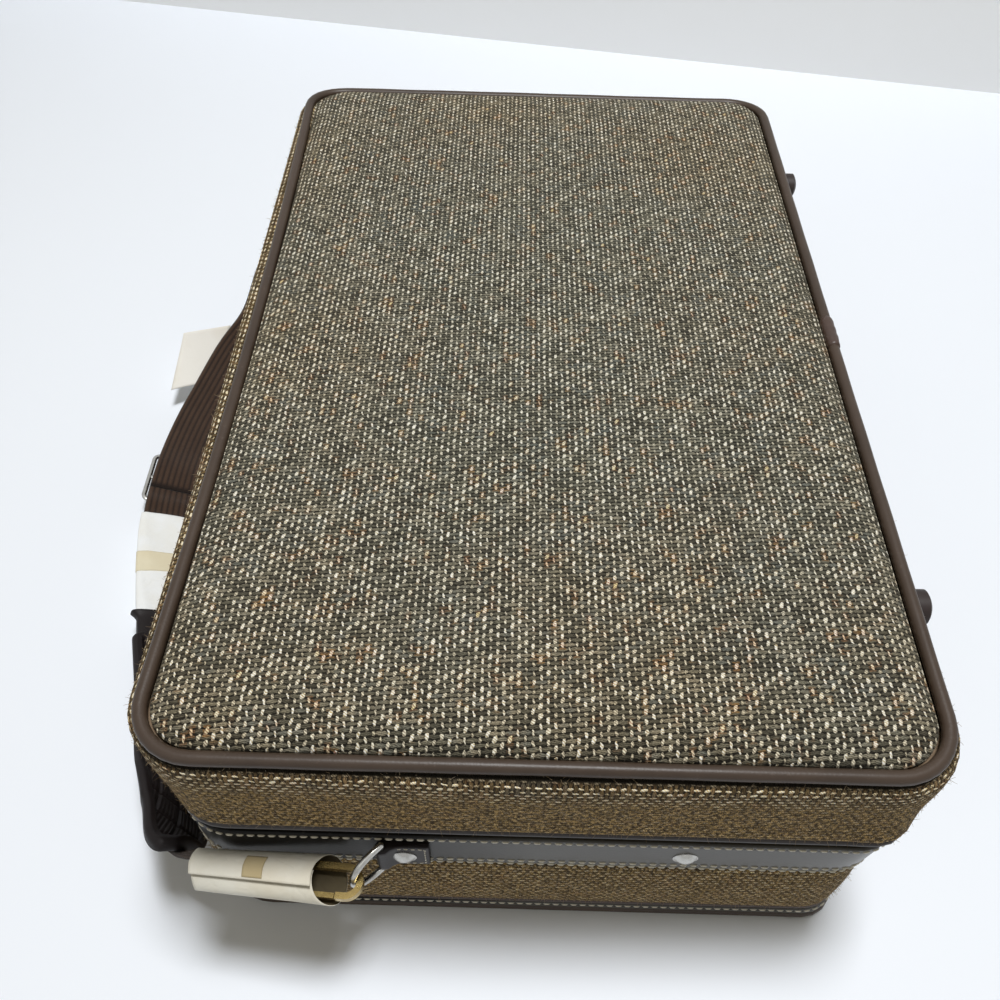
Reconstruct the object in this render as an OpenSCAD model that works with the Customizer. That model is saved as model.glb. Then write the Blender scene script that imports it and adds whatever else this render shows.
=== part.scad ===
// Soft-sided zip-round tweed travel case, lying on its back panel.
// +Z is up, +Y runs along the case, +X is the hinge side with the feet.
// The origin is the middle of the back panel, on the floor.

/* [Case] */
// Width of the case across its sides
case_w = 336; // [290:1:380]
// Length of the case from end to end
case_l = 533; // [480:1:600]
// Radius of the four upright corners
corner_r = 28; // [24:1:45]
// Height of the zip line above the floor
zip_z = 119; // [112:1:130]
// Height of the case, from the floor to the top of its crown
case_h = 202; // [194:1:218]
// Rise of the padded top from its corners to its middle
crown_rise = 10; // [5:1:14]

/* [Skin] */
// Thickness of the padded side skin
skin_t = 4; // [3:0.5:5]
// Thickness of the frame hoops
frame_t = 3.5; // [2.5:0.5:5]
// Thickness of the lining
lining_t = 1; // [0.8:0.1:1.5]
// Thickness of the tweed on the top panel
tweed_t = 2.5; // [2:0.5:3]
// Thickness of the foam under that tweed
foam_t = 3; // [2.5:0.5:3.5]
// Thickness of the stiffening board in the lid
board_t = 3; // [2:0.5:4]
// Thickness of the back panel
panel_t = 3; // [2:0.5:3.5]
// Thickness of the stiffening board in the base
base_board_t = 4; // [3:0.5:5]
// Diameter of the piping round the top
piping_d = 7; // [5:0.5:8]
// How far the top piping stands out from the skin
piping_proud = 1.5; // [1:0.25:2]
// Diameter of the piping round the back panel
back_piping_d = 6; // [5:0.5:7]
// How far the back piping stands out from the skin
back_proud = 1; // [0.5:0.25:1.5]
// Height of the back piping above the floor
back_lift = 1.5; // [1:0.25:2]
// Diameter of the thin welts
welt_d = 3.8; // [3:0.2:4]
// Height of the stitched edge strip above the back piping
edge_strip_h = 7.5; // [5:0.5:10]
// Height of the vinyl band below the zip
band_h = 33; // [30:1:40]
// How far the vinyl band stands out from the tweed
band_proud = 0.5; // [0.3:0.1:1]
// Length of the sleeve over the joint in the piping
sleeve_l = 24; // [16:1:32]

/* [Zip and hinge] */
// Open seam that the zip sits in
seam_h = 10; // [9:0.5:12]
// Gap between the two rows of teeth
row_gap = 1.4; // [1.2:0.1:1.8]
// Height of one row of teeth
tooth_h = 1.9; // [1.6:0.1:2.2]
// Thickness of a row of teeth
tooth_t = 3; // [2.5:0.1:3.5]
// Depth of the teeth behind the skin
tooth_inset = 3.8; // [3.6:0.1:4.2]
// Distance of the zip's ends from the hinge side
zip_end = 25; // [15:1:35]
// Height of a zip slider
slider_h = 8; // [7:0.5:8.5]
// Length of a zip slider
slider_l = 13; // [10:0.5:16]
// Distance of each slider from the middle of the handle side
slider_y = 14; // [10:0.5:20]
// Length of a pull tab below its pivot
tab_l = 16; // [12:0.5:18]
// Width of a pull tab
tab_w = 11; // [9:0.5:13]
// Diameter of the piped hinge seam
hinge_d = 4; // [3:0.2:4.4]

/* [Handle] */
// Distance of each handle bracket from the middle
bracket_y = 70; // [60:1:85]
// Height of the handle's pivot above the floor
handle_z = 90; // [88:0.5:92]
// Distance of the handle's pivot from the band
handle_out = 8.5; // [8:0.25:12]
// Drop of the grip below its pivot
handle_drop = 40; // [34:1:48]
// Diameter of the grip
grip_d = 16; // [12:0.5:17]

/* [Strap hardware] */
// Distance of the band rivets from the middle of each end
rivet_x = 72; // [60:1:90]
// Diameter of a band rivet
rivet_d = 12; // [10:0.5:14]
// Distance of the dee bars from the middle of each end
dee_x = 71; // [65:1:80]
// Wire of the dee rings
dee_wire = 3.2; // [2.8:0.1:3.6]
// Inside height of a dee ring
dee_inside = 25; // [22:0.5:30]
// Reach of a dee ring from its bar to the middle of its bow
dee_reach = 18; // [16:0.5:22]
// Thickness of the vinyl chape that holds a dee
chape_t = 1.5; // [1.2:0.1:2]
// Width of the strap webbing
strap_w = 35; // [28:1:40]
// Thickness of the strap webbing
strap_t = 2; // [1.6:0.1:2.4]
// Width of the shoulder pad
pad_w = 46; // [40:1:50]
// Thickness of the shoulder pad
pad_t = 8; // [6:0.5:10]

/* [Feet] */
// Diameter of a foot
foot_d = 17; // [13:0.5:20]
// Height of a foot
foot_h = 14; // [10:0.5:16]
// Rise of the domed end of a foot
foot_round = 3; // [2:0.5:4]
// Distance of the feet from the middle of the hinge side
foot_y = 175; // [150:1:190]
// Distance of a lid foot below the top piping
lid_foot_drop = 15; // [13:0.5:22]
// Height of a base foot above the floor
base_foot_z = 35; // [30:0.5:45]

/* [Inside] */
// Distance of the lid pocket from the sides of the case
pocket_side = 55; // [45:1:75]
// Distance of the lid pocket from the ends of the case
pocket_end = 76.5; // [60:0.5:110]
// Width of a packing strap
tie_w = 25; // [20:1:30]
// Distance of each packing strap from the middle
tie_y = 110; // [80:1:140]

/* [Clearances] */
// Gap between parts that move past each other
move_clear = 0.3; // [0.2:0.05:0.4]
// Gap round a pivot pin
pin_clear = 0.05; // [0.03:0.01:0.08]
// Gap between a loose soft piece and what carries it
seat_clear = 0.3; // [0.2:0.05:0.4]

/* [Hidden] */
$fn = 64;
half_w = case_w / 2;
half_l = case_l / 2;
seam_low = zip_z - seam_h / 2;
seam_high = zip_z + seam_h / 2;
frame_in = skin_t + frame_t;
lining_in = frame_in + lining_t;
tuck = 0.2;

// Lid levels
corner_dip = 1;
piping_z = case_h - crown_rise + corner_dip;
piping_r = piping_d / 2;
piping_inset = piping_r - piping_proud;
lid_skin_low = seam_high + welt_d;
lid_skin_high = piping_z - piping_r;
top_gap = 0.5;
lid_board_z = lid_skin_high - top_gap - board_t;
top_inset = piping_inset + piping_r + tuck;

// Base levels
back_piping_r = back_piping_d / 2;
back_piping_inset = back_piping_r - back_proud;
back_piping_z = back_piping_r + back_lift;
base_frame_z = panel_t + base_board_t;
edge_low = back_piping_z + back_piping_r;
edge_high = edge_low + edge_strip_h;
base_skin_low = edge_high + welt_d;
base_skin_high = seam_low - band_h;
back_inset = back_piping_inset + back_piping_r;

// Zip levels
base_tooth_z = zip_z - row_gap / 2 - tooth_h;
lid_tooth_z = zip_z + row_gap / 2;
tape_t = 1;
tape_in = tooth_inset + tooth_t / 2 - tape_t / 2;
plate_t = 1.6;
slider_in = tooth_inset - move_clear - plate_t;
slider_back = tooth_inset + tooth_t + move_clear;
lug_w = 5;
tab_pin_r = 1.05;
tab_t = 1.6;
tab_out = 3;
hinge_x = half_w + band_proud;
hinge_end = 5;
hinge_l = case_l - 2 * (corner_r + hinge_end);
hinge_tape_t = 2;

// Handle places
band_face = half_w + band_proud;
end_face = half_l + band_proud;
handle_pin_r = 1.5;
knuckle_r = 3.4;
knuckle_w = 11;
ear_t = 2.5;
ear_gap = knuckle_w + 2 * move_clear;
bracket_w = 26;
bracket_h = 16;
bracket_t = 2.5;
handle_x = -band_face - handle_out;
grip_z = handle_z - handle_drop;
core_r = 3;
arm_w = 10;
arm_t = 4;

// Dee and hook places
rivet_z = seam_low - band_h / 2;
dee_r = dee_wire / 2;
chape_bore = dee_r + pin_clear;
chape_r = chape_bore + chape_t;
chape_h = dee_inside - 2;
chape_l = 22;
chape_rivet = 10;
rivet_rim = 0.6;
rivet_rise = 2.4;
dee_y = -(end_face + chape_r);
dee_half = (dee_inside + dee_wire) / 2;
dee_turn = 225;
hook_dip = 4;
hook_yaw = 4.5;
hook_dir = [-cos(hook_dip) * cos(hook_yaw), cos(hook_dip) * sin(hook_yaw), -sin(hook_dip)];
dee_tip = [-dee_x + dee_reach * cos(dee_turn), dee_y + dee_reach * sin(dee_turn), rivet_z];
hook_in = 5;
hook_out = 8;
hook_w = 4;
hook_seat = hook_in - dee_r - 2 * move_clear;
hook_at = dee_tip + hook_seat * hook_dir;
gate_u = 21;
gate_v = 6.5;
gate_r = 2.2;
gate_pin_r = 0.8;
gate_w = 2.2;
cheek_w = 5;
nose_u = 4;
shank_u = 18;
shank_end = 26;
neck_r = 2;
head_r = 3.2;
eye_u = shank_end + move_clear;
eye_plate = 3.8;
eye_half = 9.3;
eye_bar = 2;
eye_block = 5;
eye_rod = 3;
eye_end = 46;
paper_t = 0.7;
tube_r = 9.9;
tube_u = [5, 70];
tube_tape_u = [30, 44];
tape_film = 0.5;

// Strap route: x, y, z of its middle line, lean of its outer edge, width there.
strap_end_w = 14;
route = [
    [-133, -279, 94, 0, strap_end_w],
    [-146, -278, 93, 0, strap_end_w],
    [-159.5, -275.8, 89.5, 6, strap_end_w],
    [-174, -269.4, 78, 26, 20],
    [-186, -258.8, 62, 50, 30],
    [-193.6, -241.5, 44, 60, strap_w],
    [-201.5, -217.5, 30, 57, strap_w],
    [-211, -190, 22, 49, strap_w],
    [-220.5, -162, 17.5, 41, strap_w],
    [-229, -135, 14.5, 34, strap_w],
    [-236.5, -110, 12, 29, strap_w],
    [-245, -79, 10, 26, strap_w],
    [-254, -46, 9.5, 24, strap_w],
    [-260, -13, 9, 22, strap_w],
    [-263, 20, 9, 22, strap_w],
    [-263, 54, 9, 22, strap_w],
    [-260, 88, 9, 24, strap_w],
    [-254, 122, 10, 27, strap_w],
    [-247, 156, 13, 32, strap_w],
    [-239, 188, 20, 37, strap_w],
    [-229, 217, 32, 40, strap_w],
    [-214, 243, 49, 36, strap_w],
    [-196, 261, 70, 24, 24],
    [-177, 271, 83, 10, strap_end_w],
    [-160, 275.8, 89.5, 4, strap_end_w],
    [-146, 278, 93, 0, strap_end_w],
    [-133, 279, 94, 0, strap_end_w]
];
pad_span = [3.5, 10];
pad_end_half = 10;
sleeve_span = [10.6, 13.4];
sleeve_tape_span = [11.8, 12.5];
slide_place = 14.1;
tag_span = [16.6, 18.1];
tag_half = 15;
tag_t = 0.6;
tag_set = [16.5, 29];
slide_bar = 3.5;
slide_w = strap_w + 2 * slide_bar;
slide_l = 40;
slide_t = 3;

// Inside fittings
pocket_w = case_w - 2 * pocket_side;
pocket_l = case_l - 2 * pocket_end;
pocket_t = 1.8;
elastic_w = 8;
elastic_t = 2.5;
tie_t = 1.2;
tie_z = base_frame_z + lining_t;
buckle_l = 40;
buckle_t = 4;
buckle_bar = 3;

// Outline of the case, drawn in by an inset
module outline(inset) {
    r = corner_r - inset;
    w = half_w - inset;
    l = half_l - inset;
    square([2 * w, 2 * (l - r)], center = true);
    square([2 * (w - r), 2 * l], center = true);
    for (sx = [-1, 1], sy = [-1, 1])
        translate([sx * (w - r), sy * (l - r)]) circle(r);
}

// Flat slab of that outline between two heights
module slab(inset, low, high) {
    translate([0, 0, low]) linear_extrude(high - low) outline(inset);
}

// Wall between two insets and two heights
module hoop(outer, inner, low, high) {
    translate([0, 0, low]) linear_extrude(high - low) difference() {
        outline(outer);
        outline(inner);
    }
}

// Round cord laid along the outline
module cord_hoop(inset, d, z) {
    r = corner_r - inset;
    w = half_w - inset;
    l = half_l - inset;
    translate([0, 0, z]) {
        for (s = [-1, 1]) {
            translate([s * w, 0, 0]) rotate([90, 0, 0])
                cylinder(d = d, h = 2 * (l - r), center = true);
            translate([0, s * l, 0]) rotate([0, 90, 0])
                cylinder(d = d, h = 2 * (w - r), center = true);
        }
        for (k = [0:3])
            translate([(k == 0 || k == 3 ? 1 : -1) * (w - r), (k < 2 ? 1 : -1) * (l - r), 0])
                rotate([0, 0, 90 * k]) rotate_extrude(angle = 90) translate([r, 0]) circle(d = d);
    }
}

// Radius of an arc with a given half chord and rise
function arc_r(half, rise) = (half * half + rise * rise) / (2 * rise);

// Space under the crowned top, lowered by a depth
module crown(depth) {
    rise = crown_rise / 2;
    across = arc_r(half_w - top_inset, rise);
    endwise = arc_r(half_l - top_inset, rise);
    sweep = 2 * asin(half_l / endwise);
    thick = 4 * crown_rise;
    translate([0, 0, case_h - endwise]) rotate([0, 90, 0]) rotate([0, 0, 180 - sweep / 2])
        rotate_extrude(angle = sweep, $fn = 2880) translate([endwise - across, 0]) intersection() {
            circle(across - depth, $fn = 1440);
            translate([across - thick, -half_w]) square([thick + 1, case_w]);
        }
}

// Domed head standing on z = 0
module dome(d, rise) {
    r = arc_r(d / 2, rise);
    intersection() {
        translate([0, 0, rise - r]) sphere(r);
        cylinder(d = d, h = rise);
    }
}

// Keeps the part of a hoop that the zip runs along
module zip_run() {
    difference() {
        children();
        translate([half_w - zip_end, -case_l, seam_low - 1]) cube([case_w, 2 * case_l, seam_h + 2]);
    }
}

module far_side() {
    mirror([0, 1, 0]) children();
}

// Lid
module lid_panel() {
    color("tan") difference() {
        intersection() {
            slab(top_inset, lid_skin_high - top_gap, case_h + 1);
            crown(0);
        }
        crown(tweed_t);
    }
}

module lid_foam() {
    color("khaki") difference() {
        intersection() {
            slab(top_inset, lid_skin_high - top_gap, case_h + 1);
            crown(tweed_t);
        }
        crown(tweed_t + foam_t);
    }
}

module lid_board() {
    color("peru") slab(skin_t, lid_board_z, lid_board_z + board_t);
}

module lid_frame() {
    color("burlywood") hoop(skin_t, frame_in, seam_high, lid_board_z);
}

module lid_gusset() {
    color("darkkhaki") hoop(0, skin_t, lid_skin_low, lid_skin_high);
}

module lid_piping() {
    color("saddlebrown") cord_hoop(piping_inset, piping_d, piping_z);
}

module piping_sleeve() {
    x = half_w - piping_inset;
    wrap = piping_r + 0.8;
    color("maroon") difference() {
        translate([x, 0, piping_z]) rotate([90, 0, 0]) cylinder(r = wrap, h = sleeve_l, center = true);
        translate([x, 0, piping_z]) rotate([90, 0, 0])
            cylinder(r = piping_r, h = sleeve_l + 2, center = true);
        translate([x - wrap - 1, -sleeve_l, piping_z - wrap - 1])
            cube([2 * wrap + 2, 2 * sleeve_l, wrap - piping_r + 1]);
        translate([x - wrap - 1, -sleeve_l, piping_z - wrap - 1])
            cube([wrap - piping_r + 1, 2 * sleeve_l, 2 * wrap + 2]);
    }
}

module lid_welt() {
    color("sienna") cord_hoop(welt_d / 2, welt_d, seam_high + welt_d / 2);
}

module lid_zip_tape() {
    color("darkslategray") zip_run() hoop(tape_in, tape_in + tape_t, lid_tooth_z + tooth_h, seam_high);
}

module lid_zip_teeth() {
    color("goldenrod") zip_run()
        hoop(tooth_inset, tooth_inset + tooth_t, lid_tooth_z, lid_tooth_z + tooth_h);
}

module lid_lining() {
    color("wheat") difference() {
        slab(frame_in, seam_high + 0.5, lid_board_z);
        slab(lining_in, seam_high, lid_board_z - lining_t);
    }
}

module lid_pocket() {
    color("bisque") translate([-pocket_w / 2, -pocket_l / 2, lid_board_z - lining_t - pocket_t])
        cube([pocket_w, pocket_l, pocket_t]);
}

module pocket_elastic() {
    color("tan") translate([-pocket_w / 2 - elastic_w, -pocket_l / 2, lid_board_z - lining_t - elastic_t])
        cube([elastic_w, pocket_l, elastic_t]);
}

// One round foot standing out from the hinge side
module foot(y, z) {
    translate([half_w, y, z]) rotate([0, 90, 0]) {
        cylinder(d = foot_d, h = foot_h - foot_round);
        translate([0, 0, foot_h - foot_round]) dome(foot_d, foot_round);
    }
}

module lid_feet() {
    color("black") for (s = [-1, 1]) foot(s * foot_y, piping_z - lid_foot_drop);
}

module hinge_tape_lid() {
    x = hinge_x - hinge_d / 2 - move_clear - hinge_tape_t;
    color("sienna") translate([x, -hinge_l / 2, zip_z + move_clear])
        cube([hinge_tape_t, hinge_l, seam_h / 2 - move_clear]);
}

// Base
module base_panel() {
    color("saddlebrown") slab(back_inset, 0, panel_t);
}

module base_board() {
    color("peru") slab(back_inset + tuck, panel_t, base_frame_z);
}

module base_frame() {
    color("burlywood") hoop(skin_t, frame_in, base_frame_z, seam_low);
}

module base_piping() {
    color("saddlebrown") cord_hoop(back_piping_inset, back_piping_d, back_piping_z);
}

module base_edge() {
    color("rosybrown") hoop(0, skin_t, edge_low, edge_high);
}

module base_welt() {
    color("sienna") cord_hoop(welt_d / 2, welt_d, edge_high + welt_d / 2);
}

module base_gusset() {
    color("darkkhaki") hoop(0, skin_t, base_skin_low, base_skin_high);
}

module base_band() {
    color("dimgray") hoop(-band_proud, skin_t, base_skin_high, seam_low);
}

module base_zip_tape() {
    color("darkslategray") zip_run() hoop(tape_in, tape_in + tape_t, seam_low, base_tooth_z);
}

module base_zip_teeth() {
    color("goldenrod") zip_run()
        hoop(tooth_inset, tooth_inset + tooth_t, base_tooth_z, base_tooth_z + tooth_h);
}

module base_lining() {
    color("wheat") difference() {
        slab(frame_in, base_frame_z, seam_low - 0.5);
        slab(lining_in, base_frame_z + lining_t, seam_low);
    }
}

module tie_straps() {
    color("sienna") for (s = [-1, 1])
        translate([0, s * tie_y, tie_z + tie_t / 2])
            cube([2 * (half_w - lining_in), tie_w, tie_t], center = true);
}

module tie_buckles() {
    color("silver") for (s = [-1, 1])
        translate([0, s * tie_y, tie_z + tie_t]) difference() {
            translate([-buckle_l / 2, -tie_w / 2 - buckle_bar, 0])
                cube([buckle_l, tie_w + 2 * buckle_bar, buckle_t]);
            for (k = [-1, 1])
                translate([k * buckle_l / 4 - buckle_l / 4 + buckle_bar, -tie_w / 2, -1])
                    cube([buckle_l / 2 - 2 * buckle_bar, tie_w, buckle_t + 2]);
        }
}

module base_feet() {
    color("black") for (s = [-1, 1]) foot(s * foot_y, base_foot_z);
}

module hinge_tape_base() {
    color("sienna") translate([hinge_x - hinge_d / 2 - move_clear - hinge_tape_t, -hinge_l / 2, seam_low])
        cube([hinge_tape_t, hinge_l, seam_h / 2 - move_clear]);
}

module hinge_cord() {
    color("saddlebrown") translate([hinge_x, 0, zip_z]) rotate([90, 0, 0])
        cylinder(d = hinge_d, h = hinge_l, center = true);
}

// Rivets on the ends of the band
module end_rivet(x, y) {
    translate([x, y, rivet_z]) rotate([90, 0, 0]) {
        cylinder(d = rivet_d, h = rivet_rim);
        translate([0, 0, rivet_rim]) dome(rivet_d - 2 * rivet_rim, rivet_rise);
    }
}

module band_rivets() {
    color("silver") {
        end_rivet(rivet_x, -end_face);
        far_side() end_rivet(rivet_x, -end_face);
    }
}

module chape() {
    color("black") difference() {
        union() {
            translate([-dee_x, dee_y, rivet_z]) cylinder(r = chape_r, h = chape_h, center = true);
            translate([-dee_x, -end_face - 2 * chape_t, rivet_z - chape_h / 2])
                cube([chape_l, 2 * chape_t, chape_h]);
        }
        translate([-dee_x, dee_y, rivet_z]) cylinder(r = chape_bore, h = chape_h + 2, center = true);
    }
}

module chape_near() {
    chape();
}

module chape_far() {
    far_side() chape();
}

module chape_rivets() {
    color("silver") {
        end_rivet(-dee_x + chape_rivet, -end_face - 2 * chape_t);
        far_side() end_rivet(-dee_x + chape_rivet, -end_face - 2 * chape_t);
    }
}

// Handle
module bracket() {
    translate([-band_face - bracket_t, -bracket_w / 2, -bracket_h / 2])
        cube([bracket_t, bracket_w, bracket_h]);
    for (s = [-1, 1]) translate([0, s * (ear_gap + ear_t) / 2, 0]) {
        translate([handle_x, -ear_t / 2, -knuckle_r])
            cube([handle_out - bracket_t, ear_t, 2 * knuckle_r]);
        translate([handle_x, 0, 0]) rotate([90, 0, 0]) cylinder(r = knuckle_r, h = ear_t, center = true);
    }
    translate([handle_x, 0, 0]) rotate([90, 0, 0])
        cylinder(r = handle_pin_r, h = ear_gap + ear_t, center = true);
}

module handle_brackets() {
    color("silver") for (s = [-1, 1]) translate([0, s * bracket_y, handle_z]) bracket();
}

module bracket_rivets() {
    y = (bracket_w + ear_gap + 2 * ear_t) / 4;
    color("gainsboro") for (s = [-1, 1], k = [-1, 1])
        translate([-band_face - bracket_t, s * bracket_y + k * y, handle_z])
            rotate([0, -90, 0]) dome(3.4, 1.2);
}

module handle_grip() {
    l = 2 * bracket_y - arm_w;
    color("saddlebrown") translate([handle_x, 0, grip_z]) rotate([90, 0, 0]) difference() {
        union() {
            cylinder(d = grip_d, h = l - grip_d / 2, center = true);
            for (s = [-1, 1]) translate([0, 0, s * (l / 2 - grip_d / 4)])
                cylinder(d = grip_d - 3, h = grip_d / 2, center = true);
        }
        cylinder(r = core_r, h = l + 2, center = true);
    }
}

module handle_core() {
    color("gray") translate([handle_x, 0, grip_z]) rotate([90, 0, 0])
        cylinder(r = core_r, h = 2 * bracket_y - arm_w, center = true);
}

module handle_loop() {
    difference() {
        union() {
            translate([handle_x, 0, handle_z]) rotate([90, 0, 0])
                cylinder(r = knuckle_r, h = knuckle_w, center = true);
            translate([handle_x - arm_t / 2, -arm_w / 2, grip_z - core_r - 1])
                cube([arm_t, arm_w, handle_drop + core_r + 1]);
        }
        translate([handle_x, 0, handle_z]) rotate([90, 0, 0])
            cylinder(r = handle_pin_r + pin_clear, h = knuckle_w + 2, center = true);
    }
}

module handle_loops() {
    color("silver") for (s = [-1, 1]) translate([0, s * bracket_y, 0]) handle_loop();
}

// Zip sliders and their pull tabs
module slider() {
    lug_x = -tab_out - 2;
    color("goldenrod") translate([-half_w, -slider_y, zip_z]) difference() {
        union() {
            translate([slider_in, -slider_l / 2, -slider_h / 2]) cube([plate_t, slider_l, slider_h]);
            translate([slider_back, -slider_l / 2, -slider_h / 2]) cube([plate_t, slider_l, slider_h]);
            translate([slider_in, -2, -row_gap / 2 + 0.2])
                cube([slider_back - slider_in + plate_t, 4, row_gap - 0.4]);
            translate([lug_x, -lug_w / 2, -2.4]) cube([slider_in - lug_x + plate_t, lug_w, 4.8]);
        }
        translate([-tab_out, 0, 0]) rotate([90, 0, 0])
            cylinder(r = tab_pin_r + pin_clear, h = lug_w + 2, center = true);
    }
}

module slider_near() {
    slider();
}

module slider_far() {
    far_side() slider();
}

module pull() {
    arm = (tab_w - lug_w - 2 * move_clear) / 2;
    neck = 5;
    color("saddlebrown") translate([-half_w - tab_out, -slider_y, zip_z]) {
        rotate([90, 0, 0]) cylinder(r = tab_pin_r, h = tab_w, center = true);
        for (s = [-1, 1]) translate([-tab_t / 2, s * (tab_w - arm) / 2 - arm / 2, -neck])
            cube([tab_t, arm, neck]);
        translate([-tab_t / 2, -tab_w / 2, -tab_l]) cube([tab_t, tab_w, tab_l - neck]);
    }
}

module pull_near() {
    pull();
}

module pull_far() {
    far_side() pull();
}

// Dee ring, its bar upright in the chape
module dee() {
    leg = dee_reach - dee_half;
    color("silver") translate([-dee_x, dee_y, rivet_z]) rotate([0, 0, dee_turn]) {
        cylinder(r = dee_r, h = 2 * dee_half, center = true);
        for (s = [-1, 1]) translate([0, 0, s * dee_half]) {
            sphere(dee_r);
            rotate([0, 90, 0]) cylinder(r = dee_r, h = leg);
        }
        translate([leg, 0, 0]) rotate([90, 0, 0]) rotate([0, 0, -90])
            rotate_extrude(angle = 180) translate([dee_half, 0]) circle(dee_r);
    }
}

module dee_near() {
    dee();
}

module dee_far() {
    far_side() dee();
}

// Places what follows on the hook's own axis, with its bend at the dee
module on_hook() {
    translate(hook_at) rotate([0, hook_dip, 180 - hook_yaw]) children();
}

module hook() {
    block_v = gate_v - gate_r - 0.4;
    color("gold") on_hook() difference() {
        union() {
            difference() {
                cylinder(r = hook_out, h = hook_w, center = true);
                cylinder(r = hook_in, h = hook_w + 2, center = true);
                translate([0, -hook_out - 1, -hook_w]) cube([hook_out + 1, 2 * hook_out + 2, 2 * hook_w]);
            }
            translate([0, -hook_out, -hook_w / 2]) cube([shank_u, hook_out - hook_in, hook_w]);
            translate([0, hook_in, -hook_w / 2]) cube([nose_u, hook_out - hook_in, hook_w]);
            translate([shank_u, -hook_out, -cheek_w / 2])
                cube([shank_end - shank_u, hook_out + block_v, cheek_w]);
            translate([gate_u - gate_r, block_v, -cheek_w / 2])
                cube([2 * gate_r, gate_v + gate_r - block_v, cheek_w]);
            translate([shank_end, 0, 0]) rotate([0, 90, 0]) {
                cylinder(r = neck_r, h = eye_plate + 3 * move_clear);
                translate([0, 0, eye_plate + 2 * move_clear]) cylinder(r = head_r, h = 2);
            }
        }
        difference() {
            translate([gate_u - gate_r - 1, block_v, -gate_w / 2 - move_clear])
                cube([2 * gate_r + 2, 2 * gate_r + 2, gate_w + 2 * move_clear]);
            translate([gate_u, gate_v, 0]) cylinder(r = gate_pin_r, h = cheek_w, center = true);
        }
    }
}

module hook_near() {
    hook();
}

module hook_far() {
    far_side() hook();
}

// Sprung gate across the hook's mouth
module gate() {
    tip = nose_u + 0.6;
    color("khaki") on_hook() difference() {
        union() {
            translate([gate_u, gate_v, 0]) cylinder(r = gate_r, h = gate_w, center = true);
            translate([tip, gate_v - 1.2, -gate_w / 2]) cube([gate_u - tip, 2.4, gate_w]);
        }
        translate([gate_u, gate_v, 0]) cylinder(r = gate_pin_r + pin_clear, h = gate_w + 2, center = true);
    }
}

module gate_near() {
    gate();
}

module gate_far() {
    far_side() gate();
}

// Swivel eye that the strap is sewn to
module eye() {
    color("gold") on_hook() difference() {
        union() {
            translate([eye_u, -eye_half, -eye_block / 2]) cube([eye_plate, 2 * eye_half, eye_block]);
            for (s = [-1, 1]) translate([eye_u, s * (eye_half - eye_bar / 2) - eye_bar / 2, -eye_rod / 2])
                cube([eye_end - eye_u, eye_bar, eye_rod]);
            translate([eye_end - eye_bar, -eye_half, -eye_rod / 2]) cube([eye_bar, 2 * eye_half, eye_rod]);
        }
        translate([eye_u - 1, 0, 0]) rotate([0, 90, 0])
            cylinder(r = neck_r + pin_clear, h = eye_plate + 2);
    }
}

module eye_near() {
    eye();
}

module eye_far() {
    far_side() eye();
}

// Strap: a smooth line through the route, with a leaning cross-section
last = len(route) - 1;
function stop_at(i) = route[max(0, min(last, i))];
function bend(a, b, c, d, t) =
    0.5 * (2 * b + (c - a) * t + (2 * a - 5 * b + 4 * c - d) * t * t + (3 * b - a - 3 * c + d) * t * t * t);
function along(u) =
    let (i = min(floor(u), last - 1))
    bend(stop_at(i - 1), stop_at(i), stop_at(i + 1), stop_at(i + 2), u - i);
function place(u) = [for (k = [0:2]) along(u)[k]];
function unit(v) = v / norm(v);
function heading(u) = unit(place(min(last, u + 0.05)) - place(max(0, u - 0.05)));
function outward(u) = unit(cross([0, 0, 1], heading(u)));
function rise_dir(u) = cross(heading(u), outward(u));
function width_dir(u) = cos(along(u)[3]) * outward(u) + sin(along(u)[3]) * rise_dir(u);
function face_dir(u) = cos(along(u)[3]) * rise_dir(u) - sin(along(u)[3]) * outward(u);

// Eight-sided strip along part of the route, between two depths off its middle
module strip(span, rings, half, low, high, shift = function (u) 0) {
    c = 0.35 * (high - low);
    sides = 8;
    points = [for (k = [0:rings]) let (
        u = span[0] + (span[1] - span[0]) * k / rings,
        h = half(u),
        section = [[-h, low + c], [c - h, low], [h - c, low], [h, low + c],
            [h, high - c], [h - c, high], [c - h, high], [-h, high - c]])
        for (p = section) place(u) + (p[0] + shift(u)) * width_dir(u) + p[1] * face_dir(u)];
    walls = [for (k = [0:rings - 1], s = [0:sides - 1]) let (
        a = k * sides + s,
        b = k * sides + (s + 1) % sides)
        each [[a, a + sides, b + sides], [a, b + sides, b]]];
    near_cap = [for (s = [1:sides - 2]) [0, s, s + 1]];
    far_cap = [for (s = [1:sides - 2]) [rings * sides, rings * sides + s + 1, rings * sides + s]];
    polyhedron(points, concat(walls, near_cap, far_cap));
}

module strap_webbing() {
    color("saddlebrown") strip([0, last], 6 * last, function (u) along(u)[4] / 2, -strap_t / 2, strap_t / 2);
}

// Pad with rounded ends, lying on the strap
pad_low = strap_t / 2 + 2 * seat_clear;
function pad_share(u) = (2 * u - pad_span[0] - pad_span[1]) / (pad_span[1] - pad_span[0]);
function pad_half(u) = pad_end_half + (pad_w / 2 - pad_end_half) * sqrt(max(0, 1 - pow(pad_share(u), 6)));

module shoulder_pad() {
    color("black") strip(pad_span, 39, function (u) pad_half(u), pad_low, pad_low + pad_t);
}

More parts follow.
